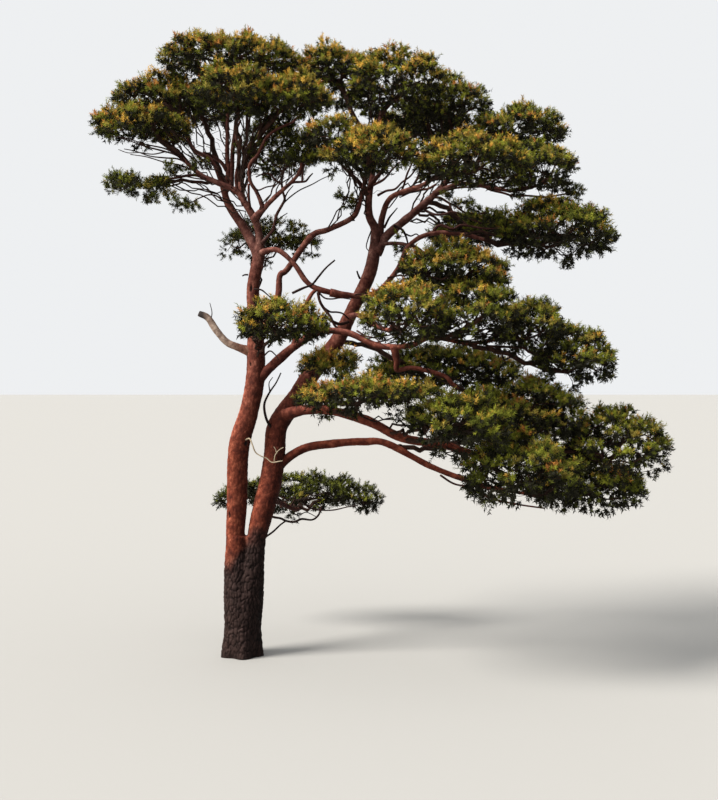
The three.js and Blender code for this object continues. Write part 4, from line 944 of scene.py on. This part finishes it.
# Growth of a mass: the part's rule, carried on to clumps of shoots; rises and reaches are in half sizes
woodSettings = {
    "hubRise": -0.55, "hubReach": 0.35, "hubPull": 0.4, "onward": 0.35, "sag": 0.06, "detour": 0.3,
    "stemStep": 0.14, "armStep": 0.12, "clumpStep": 0.11, "waver": 0.02, "clumpWaver": 0.7,
    "denseArms": {"count": 5, "reach": 0.45, "rise": (-0.2, 0.15)},
    "openArms": {"count": 4, "reach": 0.6, "rise": (-0.15, 0.05)}, "firstArm": 0.25,
    "tipRadius": 0.0055, "pipePower": 0.48, "leastLoad": 0.6, "thickestStem": 0.042,
    "branchFrom": 0.0135, "branchSides": 6, "twigSides": 3,
}
# Stems that leave the limb before the mass's own stem
sideStemSettings = {
    "count": 6, "span": 1.3, "stemSpan": 0.35, "spacing": 0.08, "furthest": 2.2, "turnSpread": 0.9,
    "reach": 0.55, "rise": (-0.65, -0.05), "step": 0.13, "waver": 0.03, "load": 5,
    "along": 0.7, "towards": 0.6, "up": 0.4,
}
bareTwigSettings = {
    "perArea": 26, "within": 0.95, "length": (0.14, 0.42), "rise": (-0.35, 0.5), "step": 0.07, "waver": 0.8,
}
cushionSettings = {"pitch": 0.4, "rim": 0.9, "reach": 0.6, "pull": 0.86, "drop": 0.13, "lift": (-0.05, 0.08)}
clumpSettings = {
    "radius": (0.095, 0.155), "tries": 28, "footBack": 0.75,
    "roundPower": 2.4, "rimRise": 0.2, "flatTop": {"low_left_pad": 0.72},
    "topRim": 0.92, "topPitch": 0.172, "openTopPitch": 0.2, "fullTop": ("low_back_pad",),
    "sunk": (0.9, 1.1), "skin": 0.02, "ownSkin": {"crown_top": -0.05}, "topFacing": (0.45, 0.75),
    "underRim": 0.88, "underPitch": 0.175, "openUnderPitch": 0.21, "fullUnderPitch": 0.142,
    "fullUnder": ("low_skirt_pad", "lowest_pad", "low_middle_pad", "dark_back_pad", "upper_pad",
                  "upper_back_pad"),
    "underSize": 0.9, "underDepth": 0.45, "underSpread": (0.05, 0.95), "underFacing": (0.75, 0.25),
    "under": (-1.05, 0.45), "ownUnder": {"low_left_pad": (-1.0, 1.15), "near_pad": (-0.8, 0.45)},
    "sprigRadius": (0.07, 0.1), "sprigUp": 0.5,
}


def onDome(middle, half, turn, reach, rise):
    return np.array([middle[0] + math.cos(turn) * half[0] * reach,
                     middle[1] + math.sin(turn) * half[1] * reach, middle[2] + half[2] * rise])


def domeRise(name, reach):
    # Height share of a mass's rounded top at a reach from its middle
    settings = clumpSettings
    rim = settings["flatTop"].get(name, settings["rimRise"])
    return 1 - (1 - rim) * reach ** settings["roundPower"]


class Branching:
    # Nodes of one mass's wood; each knows the node it grew from and its way back to the hub
    def __init__(self, start, heading):
        self.places, self.parents, self.ways, self.tips = [], [], [], []
        self.headings = {}
        self.plant(start, heading)

    def plant(self, place, heading):
        # A new start on a limb, with the way that its first stretch takes
        self.headings[len(self.places)] = heading
        self.places.append(place)
        self.parents.append(-1)
        self.ways.append(0.0)

    def grow(self, parent, target, step, waver, rng):
        # Adds nodes on a bowed line from a node to a target and returns the last one
        begin = self.places[parent]
        distance = np.linalg.norm(target - begin)
        if parent in self.headings:
            onward = self.headings[parent]
        else:
            onward = unit(begin - self.places[self.parents[parent]])
        sag = np.array([0, 0, -woodSettings["sag"] * distance])
        bend = begin + onward * distance * woodSettings["onward"] + sag
        count = max(1, int(round(distance / step)))
        node = parent
        for index in range(1, count + 1):
            share = index / count
            place = (1 - share) ** 2 * begin + 2 * share * (1 - share) * bend + share ** 2 * target
            if index < count:
                place = place + rng.normal(0, waver, 3)
            self.places.append(place)
            self.parents.append(node)
            self.ways.append(self.ways[node] + np.linalg.norm(place - self.places[node]))
            node = len(self.places) - 1
        return node

    def nearest(self, target, firstNode):
        # The node nearest to a target, with its way back to the hub counted in part
        gaps = np.linalg.norm(np.array(self.places[firstNode:]) - target, axis=1)
        cost = gaps + woodSettings["detour"] * np.array(self.ways[firstNode:])
        return firstNode + int(np.argmin(cost))

    def growClump(self, firstNode, centre, radius, facing, isTop, rng):
        # Wood from the nearest node to a clump's foot; returns the clump
        settings = woodSettings
        foot = centre - facing * radius * clumpSettings["footBack"]
        parent = self.nearest(foot, firstNode)
        waver = settings["waver"] * settings["clumpWaver"]
        self.tips.append(self.grow(parent, foot, settings["clumpStep"], waver, rng))
        return centre, radius, facing, foot, isTop


def scatterOnDisc(pitch, half, rng):
    # Even but unruly places on a mass's plan, as turn and reach, with pitch metres between them
    kept = []
    spots = np.zeros((0, 2))
    tries = int(clumpSettings["tries"] * half[0] * half[1] * math.pi / pitch ** 2)
    for turn, share in zip(rng.uniform(0, 2 * math.pi, tries), rng.uniform(0, 1, tries)):
        reach = math.sqrt(share)
        spot = np.array([math.cos(turn) * reach * half[0], math.sin(turn) * reach * half[1]])
        if len(spots) == 0 or np.min(np.sum((spots - spot) ** 2, axis=1)) > pitch ** 2:
            spots = np.vstack([spots, spot])
            kept.append((turn, reach))
    return kept


def limbStations(limbName, wayPoint):
    # Places along the end of a mass's limb, with the limb's way at each, up to the mass's way-point
    settings = sideStemSettings
    points = alongLimb(limbLines[limbName], settings["spacing"])[0]
    end = np.array(limbLines[limbName][wayPoint][:3], float)
    last = int(np.argmin(np.linalg.norm(points - end, axis=1)))
    span = settings["stemSpan" if limbName.endswith("_stem") else "span"]
    first = max(0, last - int(span / settings["spacing"]))
    ways = np.gradient(points, axis=0)
    return [(points[index], unit(ways[index])) for index in range(first, last + 1)]


def growArms(wood, hub, middle, half, isDense, rng):
    settings = woodSettings
    arms = settings["denseArms" if isDense else "openArms"]
    firstTurn = rng.uniform(0, 2 * math.pi)
    for arm in range(arms["count"]):
        turn = firstTurn + (arm + settings["firstArm"]) / arms["count"] * 2 * math.pi
        end = onDome(middle, half, turn, arms["reach"], rng.uniform(*arms["rise"]))
        wood.grow(hub, end, settings["armStep"], settings["waver"], rng)


def growSideStems(wood, stations, middle, half, rng):
    settings = sideStemSettings
    spread = settings["turnSpread"]
    for index in np.linspace(0, len(stations) - 1, settings["count"] + 1).astype(int)[:-1]:
        station, onward = stations[index]
        if np.linalg.norm(station - middle) > settings["furthest"]:
            continue
        turn = math.atan2(*((station - middle) / half)[1::-1]) + rng.uniform(-spread, spread)
        end = onDome(middle, half, turn, settings["reach"], rng.uniform(*settings["rise"]))
        towards = unit(end - station) * settings["towards"]
        wood.plant(station, unit(onward * settings["along"] + towards + (0, 0, settings["up"])))
        tip = wood.grow(len(wood.places) - 1, end, settings["step"], settings["waver"], rng)
        wood.tips.extend([tip] * settings["load"])


def topClumps(name, middle, half, isFull, cushions, rng):
    settings = clumpSettings
    rim = settings["topRim"]
    skin = settings["ownSkin"].get(name, settings["skin"])
    clumps = []
    for turn, reach in scatterOnDisc(settings["topPitch" if isFull else "openTopPitch"], half * rim, rng):
        radius = rng.uniform(*settings["radius"])
        rise = domeRise(name, reach) - (radius * rng.uniform(*settings["sunk"]) + skin) / half[2]
        place = onDome(middle, half, turn, reach * rim, rise)
        clumps.append((onCushion(place, middle, cushions), radius, True))
    return clumps


def underClumps(name, middle, half, isFull, cushions, rng):
    settings = clumpSettings
    rim = settings["underRim"]
    under, curl = settings["ownUnder"].get(name, settings["under"])
    pitch = settings["underPitch" if isFull else "openUnderPitch"]
    if name in settings["fullUnder"]:
        pitch = settings["fullUnderPitch"]
    clumps = []
    for turn, reach in scatterOnDisc(pitch, half * rim, rng):
        radius = rng.uniform(*settings["radius"]) * settings["underSize"]
        lowest = under * (1 - curl * reach ** 2)
        depth = domeRise(name, reach) - settings["underDepth"] - lowest
        rise = lowest + depth * rng.uniform(*settings["underSpread"])
        place = onDome(middle, half, turn, reach * rim, rise)
        clumps.append((onCushion(place, middle, cushions), radius, False))
    return clumps


def growMass(name, seed):
    # Wood and clumps of one mass: a stem to the hub, arms, then each clump from the nearest wood
    settings = woodSettings
    rng = np.random.default_rng(seed)
    limbName, wayPoint, middle, half, isDense = masses[name]
    isFull = isDense or name in clumpSettings["fullTop"]
    stations = limbStations(limbName, wayPoint)
    start = np.array(limbLines[limbName][wayPoint][:3], float)
    middle, half = np.array(middle, float), np.array(half, float)
    share = (start - middle) / half
    towards = math.atan2(share[1], share[0])
    hubReach = min(settings["hubReach"], math.hypot(share[0], share[1]) * settings["hubPull"])
    hubPlace = onDome(middle, half, towards, hubReach, settings["hubRise"])
    wood = Branching(start, unit(stations[-1][1] + unit(hubPlace - start)))
    hub = wood.grow(0, hubPlace, settings["stemStep"], settings["waver"], rng)
    growArms(wood, hub, middle, half, isDense, rng)
    growSideStems(wood, stations, middle, half, rng)
    cushions = cushionsOf(half, rng)
    clumps = topClumps(name, middle, half, isFull, cushions, rng)
    clumps += underClumps(name, middle, half, isFull, cushions, rng)
    clumps.sort(key=lambda clump: np.linalg.norm((clump[0] - wood.places[hub]) / half))
    grown = []
    for centre, radius, isTop in clumps:
        out, up = clumpSettings["topFacing" if isTop else "underFacing"]
        facing = unit(unit((centre - middle) / half ** 2) * out + np.array([0, 0, up]))
        grown.append(wood.growClump(hub, centre, radius, facing, isTop, rng))
    addBareTwigs(wood, middle, half, rng)
    return wood, grown


def growSprig(name, seed):
    # Wood and clumps of a sprig on a side limb
    settings = clumpSettings
    rng = np.random.default_rng(seed)
    limbName, middles = sprigs[name]
    line = np.array([place[:3] for place in sideLine(limbName)])
    ways = np.gradient(line, axis=0)
    wood = Branching(line[-1], unit(ways[-1]))
    for place, way in zip(line[-4:-1], ways[-4:-1]):
        wood.plant(place, unit(way))
    grown = []
    for centre in sorted(np.array(middles), key=lambda place: np.linalg.norm(place - line[-1])):
        radius = rng.uniform(*settings["sprigRadius"])
        facing = unit(unit(centre - line[-2]) + (0, 0, settings["sprigUp"]))
        grown.append(wood.growClump(0, centre, radius, facing, True, rng))
    return wood, grown


def addBareTwigs(wood, middle, half, rng):
    # Crooked bare twigs on the wood of a mass's underside
    settings = bareTwigSettings
    low = [node for node, place in enumerate(wood.places)
           if place[2] < middle[2] and wood.parents[node] >= 0]
    for node in rng.choice(low, int(settings["perArea"] * half[0] * half[1] * math.pi)):
        turn = rng.uniform(0, 2 * math.pi)
        way = np.array([math.cos(turn), math.sin(turn), rng.uniform(*settings["rise"])])
        end = wood.places[node] + unit(way) * rng.uniform(*settings["length"])
        if np.linalg.norm((end - middle)[:2] / half[:2]) < settings["within"]:
            wood.grow(int(node), end, settings["step"], woodSettings["waver"] * settings["waver"], rng)


def cushionsOf(half, rng):
    # Places of the cushions that a mass is heaped up of, each a little higher or lower
    settings = cushionSettings
    rim = settings["rim"]
    places = np.array([(math.cos(turn) * half[0] * rim * reach, math.sin(turn) * half[1] * rim * reach)
                       for turn, reach in scatterOnDisc(settings["pitch"], half * rim, rng)])
    return places, rng.uniform(*settings["lift"], len(places))


def onCushion(place, middle, cushions):
    # Draws a clump towards its cushion's middle and lowers it towards the cushion's edge
    settings = cushionSettings
    places, lifts = cushions
    gaps = places - (place - middle)[:2]
    nearest = int(np.argmin(np.sum(gaps ** 2, axis=1)))
    away = np.linalg.norm(gaps[nearest]) / (settings["pitch"] * settings["reach"])
    moved = place.copy()
    moved[:2] += gaps[nearest] * (1 - settings["pull"])
    moved[2] += lifts[nearest] - settings["drop"] * min(away, 1) ** 2
    return moved


def woodRadii(wood):
    # Thicker wood where more tips hang on it
    settings = woodSettings
    load = np.zeros(len(wood.places))
    for tip in wood.tips:
        load[tip] += 1
    for node in range(len(wood.places) - 1, 0, -1):
        if wood.parents[node] >= 0:
            load[wood.parents[node]] += load[node]
    radii = settings["tipRadius"] * np.maximum(load, settings["leastLoad"]) ** settings["pipePower"]
    return np.minimum(radii, settings["thickestStem"]), load


def addWood(wood, branchHeap, twigHeap):
    # Tubes along each run of nodes; a run goes on into the child with the greatest load
    settings = woodSettings
    radii, load = woodRadii(wood)
    places = np.array(wood.places)
    children = [[] for _ in places]
    for node, parent in enumerate(wood.parents):
        if parent >= 0:
            children[parent].append(node)
    starts = [node for node, parent in enumerate(wood.parents) if parent < 0]
    while starts:
        node = starts.pop()
        run = [node] if wood.parents[node] < 0 else [wood.parents[node], node]
        while children[node]:
            ordered = sorted(children[node], key=lambda child: -load[child])
            starts.extend(ordered[1:])
            node = ordered[0]
            run.append(node)
        if len(run) < 2:
            continue
        thick = radii[run].copy()
        thick[0] = thick[1]
        isBranch = thick[0] >= settings["branchFrom"]
        sides = settings["branchSides" if isBranch else "twigSides"]
        (branchHeap if isBranch else twigHeap).add(*tube(places[run], thick, sides))


# Shoots stand in tufts round a clump, and needles round a shoot
goldenTurn = 2.39996
anyTurn = 6.28
slantedAxis = (0.37, 0.21, 0.9)
shootSettings = {
    "topTufts": 10.5, "underTufts": 5.5, "fewestTufts": 3, "fullRadius": 0.15, "radiusPower": 1.6,
    "capDegrees": 118, "uneven": (0.2, 0.8), "acrossFrom": (0.3, 0.9, 0.1), "squash": (1, 1, 0.85),
    "tuftReach": (0.74, 1.0), "tuftSpread": 0.033, "tuftNode": 0.54, "shootsPerTuft": 4,
    "shootWidth": 0.007, "tuftWidth": 0.009,
}
needleSettings = {
    "perShoot": 13, "length": (0.038, 0.056), "width": 0.0135, "start": 0.25, "openAngle": (84, 44),
    "angleSpread": 0.12, "cupped": 0.4, "twisted": 0.3, "shadePerShoot": 8, "shadeWidth": 1.85,
    "shadeLength": 1.2,
}


def shootsOf(clumps, rng):
    # Foot and tip of each tuft's twig, then foot, tip, rise and clump of every shoot
    settings = shootSettings
    nodes, ends, rises, owners, feet = [], [], [], [], []
    for index, (centre, radius, facing, foot, isTop) in enumerate(clumps):
        wanted = settings["topTufts" if isTop else "underTufts"]
        wanted = wanted * (radius / settings["fullRadius"]) ** settings["radiusPower"]
        count = max(settings["fewestTufts"], int(wanted + 0.5))
        share = (np.arange(count) + rng.uniform(*settings["uneven"], count)) / count
        tilt = np.arccos(1 - share * (1 - math.cos(math.radians(settings["capDegrees"]))))
        turn = np.arange(count) * goldenTurn + rng.uniform(0, anyTurn)
        across = unit(np.cross(facing, settings["acrossFrom"]))
        up = np.cross(facing, across)
        way = (facing * np.cos(tilt)[:, None] + across * (np.sin(tilt) * np.cos(turn))[:, None]
               + up * (np.sin(tilt) * np.sin(turn))[:, None])
        reachOut = radius * rng.uniform(*settings["tuftReach"], count)
        tuftTips = centre + way * reachOut[:, None] * settings["squash"]
        feet.append(np.repeat(foot[None], count, axis=0))
        nodes.append(foot + (tuftTips - foot) * settings["tuftNode"])
        ends.append(tuftTips)
        rises.append(way[:, 2])
        owners.append(np.full(count, index))
    feet, nodes, ends = np.vstack(feet), np.vstack(nodes), np.vstack(ends)
    times = settings["shootsPerTuft"]
    tips = np.repeat(ends, times, axis=0) + rng.normal(0, settings["tuftSpread"], (len(ends) * times, 3))
    rises, owners = [np.repeat(np.concatenate(values), times) for values in (rises, owners)]
    return (feet, nodes), np.repeat(nodes, times, axis=0), tips, rises, owners


def needlePoints(feet, tips, isShade, rng):
    # Needles on the outer part of each shoot, each one narrow triangle; in the shade fewer but broader
    settings = needleSettings
    count = settings["shadePerShoot" if isShade else "perShoot"]
    broader, longer = (settings["shadeWidth"], settings["shadeLength"]) if isShade else (1, 1)
    shoots = len(feet)
    length = np.linalg.norm(tips - feet, axis=1, keepdims=True)
    along = (tips - feet) / length
    side = unitRows(np.cross(along, slantedAxis))
    other = np.cross(along, side)
    share = (np.arange(count) + 0.5) / count
    place = settings["start"] + (1 - settings["start"]) * share
    turn = (np.arange(count) * goldenTurn)[None, :] + rng.uniform(0, anyTurn, (shoots, 1))
    wide, narrow = settings["openAngle"]
    angle = np.radians(wide + (narrow - wide) * share)[None, :]
    angle = angle + rng.normal(0, settings["angleSpread"], (shoots, count))
    radial = side[:, None] * np.cos(turn)[..., None] + other[:, None] * np.sin(turn)[..., None]
    way = along[:, None] * np.cos(angle)[..., None] + radial * np.sin(angle)[..., None]
    reach = longer * rng.uniform(*settings["length"], (shoots, count))[..., None]
    root = feet[:, None] + along[:, None] * (length * place[None, :])[..., None]
    twist = rng.normal(0, settings["twisted"], (shoots, count, 3))
    width = unitRows(np.cross(way, along[:, None] + radial * settings["cupped"] + twist))
    width = width * settings["width"] * broader / 2
    return np.stack([root - width, root + width, root + way * reach], axis=2).reshape(-1, 3)


# Needle tones, light and deep colour of each
needleTones = {
    # The two darkest tones are painted shade: near-black needles for where shade falls under and inside the
    # crown
    "Shade": ((0.026, 0.025, 0.014), (0.012, 0.012, 0.007)),
    "DeepShade": ((0.04, 0.04, 0.02), (0.016, 0.016, 0.009)),
    "Green": ((0.125, 0.138, 0.02), (0.066, 0.075, 0.012)),
    "Fresh": ((0.29, 0.3, 0.034), (0.17, 0.18, 0.022)),
    "Olive": ((0.37, 0.288, 0.056), (0.207, 0.163, 0.033)),
    "Gold": ((0.72, 0.435, 0.072), (0.435, 0.266, 0.046)),
    "Rust": ((0.58, 0.245, 0.056), (0.34, 0.142, 0.035)),
}
# Shares of the tones on a clump's top, flank and underside, for each kind of mass; the golden tones going to
# tops are painted light and the dark tones going to flanks and undersides painted shade, over the needles'
# own spread of colours
toneShares = {
    "sunny": {
        "top": {"Fresh": 0.26, "Olive": 0.26, "Gold": 0.35, "Rust": 0.13},
        "flank": {"Green": 0.4, "Olive": 0.28, "Fresh": 0.26, "DeepShade": 0.06},
        "under": {"Shade": 0.72, "Green": 0.28},
    },
    "paintedLit": {
        "top": {"Fresh": 0.26, "Olive": 0.3, "Gold": 0.34, "Rust": 0.1},
        "flank": {"Green": 0.16, "Olive": 0.38, "Fresh": 0.3, "Gold": 0.16},
        "under": {"Shade": 0.45, "Green": 0.35, "Olive": 0.2},
    },
    "near": {
        "top": {"Green": 0.05, "Fresh": 0.32, "Olive": 0.29, "Gold": 0.2, "Rust": 0.14},
        "flank": {"Green": 0.5, "Olive": 0.22, "Fresh": 0.2, "DeepShade": 0.08},
        "under": {"Shade": 0.76, "Green": 0.24},
    },
    "green": {
        "top": {"Green": 0.2, "Fresh": 0.44, "Olive": 0.22, "Gold": 0.08, "Rust": 0.06},
        "flank": {"Green": 0.64, "Fresh": 0.14, "Olive": 0.1, "DeepShade": 0.12},
        "under": {"Shade": 0.86, "Green": 0.14},
    },
    # Painted shade: darker greens for the pad in the shade behind the stems
    "far": {
        "top": {"Green": 0.62, "Fresh": 0.18, "DeepShade": 0.14, "Olive": 0.06},
        "flank": {"Green": 0.5, "DeepShade": 0.5},
        "under": {"Shade": 0.6, "DeepShade": 0.4},
    },
    "open": {
        "top": {"Green": 0.5, "DeepShade": 0.15, "Olive": 0.2, "Fresh": 0.15},
        "flank": {"Green": 0.45, "DeepShade": 0.45, "Olive": 0.1},
        "under": {"DeepShade": 0.85, "Green": 0.15},
    },
}
# Masses of a kind of their own; of the others the dense ones are greener and the rest open. Each kind's
# shares carry its amount of painted light and shade: the sunny upper masses and the small pad get lighter
# tones as painted light, the greener dense masses lower down, the pad behind the stems and the open masses
# darker tones as painted shade
kinds = {
    "sunny": ("crown_top", "crown_west", "west_pad", "front_pad", "front_east_pad", "upper_back_pad",
              "upper_pad", "middle_west_pad", "middle_pad", "middle_east_pad"),
    "paintedLit": ("small_pad",),
    "near": ("near_pad", "low_left_pad", "shelf_pad", "centre_pad", "back_west_pad", "back_top_pad"),
    "far": ("low_back_pad",),
}
toneSettings = {"topFrom": 0.33, "flankFrom": -0.15, "lowFlankFrom": 0.8, "unruly": 0.2, "ownTone": 0.5}


def kindOf(name):
    for kind, names in kinds.items():
        if name in names:
            return kind
    return "green" if name in masses and masses[name][4] else "open"


def dealTones(clumps, rises, owners, kind, rng):
    # The tone of each shoot, by where it stands on its clump: tops take lighter tones as painted light,
    # flanks and undersides darker tones as painted shade
    settings = toneSettings
    toneNames = list(needleTones)

    def dealt(place, count):
        names = toneShares[kind][place]
        return rng.choice([toneNames.index(tone) for tone in names], count, p=list(names.values()))

    count = len(rises)
    own = dealt("top", len(clumps))[owners]
    top = np.where(rng.uniform(0, 1, count) < settings["ownTone"], own, dealt("top", count))
    height = rises + rng.normal(0, settings["unruly"], count)
    isTop = np.array([clump[-1] for clump in clumps])[owners]
    onTop = isTop & (height > settings["topFrom"])
    onFlank = np.where(isTop, height > settings["flankFrom"], height > settings["lowFlankFrom"])
    return np.where(onTop, top, np.where(onFlank, dealt("flank", count), dealt("under", count)))


# Foliage: needles keep clear of the limbs, and joined pieces stay under a number of triangles
foliageSettings = {
    "limbSpacing": 0.06, "limbGap": 0.035, "largestPiece": 190000,
    "twigTone": ((0.04, 0.024, 0.018), (0.015, 0.01, 0.008)),
    "branchTone": ((0.052, 0.025, 0.018), (0.016, 0.009, 0.007)),
}


def limbFinder():
    # Finds the nearest point on any limb; its radius stands in a list
    stations = []
    for wayPoints in limbLines.values():
        stations.extend(zip(*alongLimb(wayPoints, foliageSettings["limbSpacing"])))
    finder = KDTree(len(stations))
    for index, (point, _) in enumerate(stations):
        finder.insert(point, index)
    finder.balance()
    return finder, [radius for _, radius in stations]


def clearOfLimbs(tips, finder, radii):
    found = [finder.find(tip) for tip in tips]
    return np.array([gap > radii[index] + foliageSettings["limbGap"] for _, index, gap in found])


def addBlades(feet, tips, width, heap):
    # Thin blades of bark from feet to tips
    side = unitRows(np.cross(tips - feet, slantedAxis)) * width / 2
    points = np.stack([feet - side, feet + side, tips], axis=1).reshape(-1, 3)
    heap.add(points, np.arange(len(points)).reshape(-1, 3))


def addInPieces(name, points, faces, material, slot):
    # Joined meshes of one kind
    chunks = int(math.ceil(len(faces) / foliageSettings["largestPiece"]))
    for chunk, part in enumerate(np.array_split(faces, chunks)):
        used, again = np.unique(part, return_inverse=True)
        piece = meshPiece(f"{name}{chunk + 1}", points[used], again.reshape(-1, 3), material)
        wear(piece, slot, *masses)
        print(piece.name, len(part), "triangles")


def addFoliage():
    branchHeap, twigHeap = Heap(), Heap()
    allFeet, allTips, allTones = [], [], []
    finder, limbRadii = limbFinder()
    for index, name in enumerate([*masses, *sprigs]):
        grower = growSprig if name in sprigs else growMass
        wood, clumps = grower(name, seeds["firstMass"] + index)
        addWood(wood, branchHeap, twigHeap)
        rng = np.random.default_rng(seeds["firstShoots"] + index)
        tuftTwigs, feet, tips, rises, owners = shootsOf(clumps, rng)
        addBlades(*tuftTwigs, shootSettings["tuftWidth"], twigHeap)
        tones = dealTones(clumps, rises, owners, kindOf(name), rng)
        clear = clearOfLimbs(tips, finder, limbRadii)
        allFeet.append(feet[clear])
        allTips.append(tips[clear])
        allTones.append(tones[clear])
    feet, tips, tones = np.vstack(allFeet), np.vstack(allTips), np.concatenate(allTones)
    print("shoots:", len(feet))
    addBlades(feet, tips, shootSettings["shootWidth"], twigHeap)
    twigBark = speckledMaterial("twigBark", "wood", *foliageSettings["twigTone"])
    addInPieces("twigs", *twigHeap.merged(), twigBark, "needles")
    branchBark = speckledMaterial("branchBark", "wood", *foliageSettings["branchTone"])
    addInPieces("branches", *branchHeap.merged(), branchBark, "upper_bark")
    rng = np.random.default_rng(seeds["needles"])
    for tone, (toneName, colours) in enumerate(needleTones.items()):
        chosen = tones == tone
        points = needlePoints(feet[chosen], tips[chosen], toneName == "Shade", rng)
        faces = np.arange(len(points)).reshape(-1, 3)
        material = speckledMaterial("needle" + toneName, "needle", *colours)
        addInPieces("needles" + toneName, points, faces, material, "needles")


addCamera()
setStage()
bark = barkMaterial()
addStemBark(bark)
addAllLimbs(bark)
addFoliage()
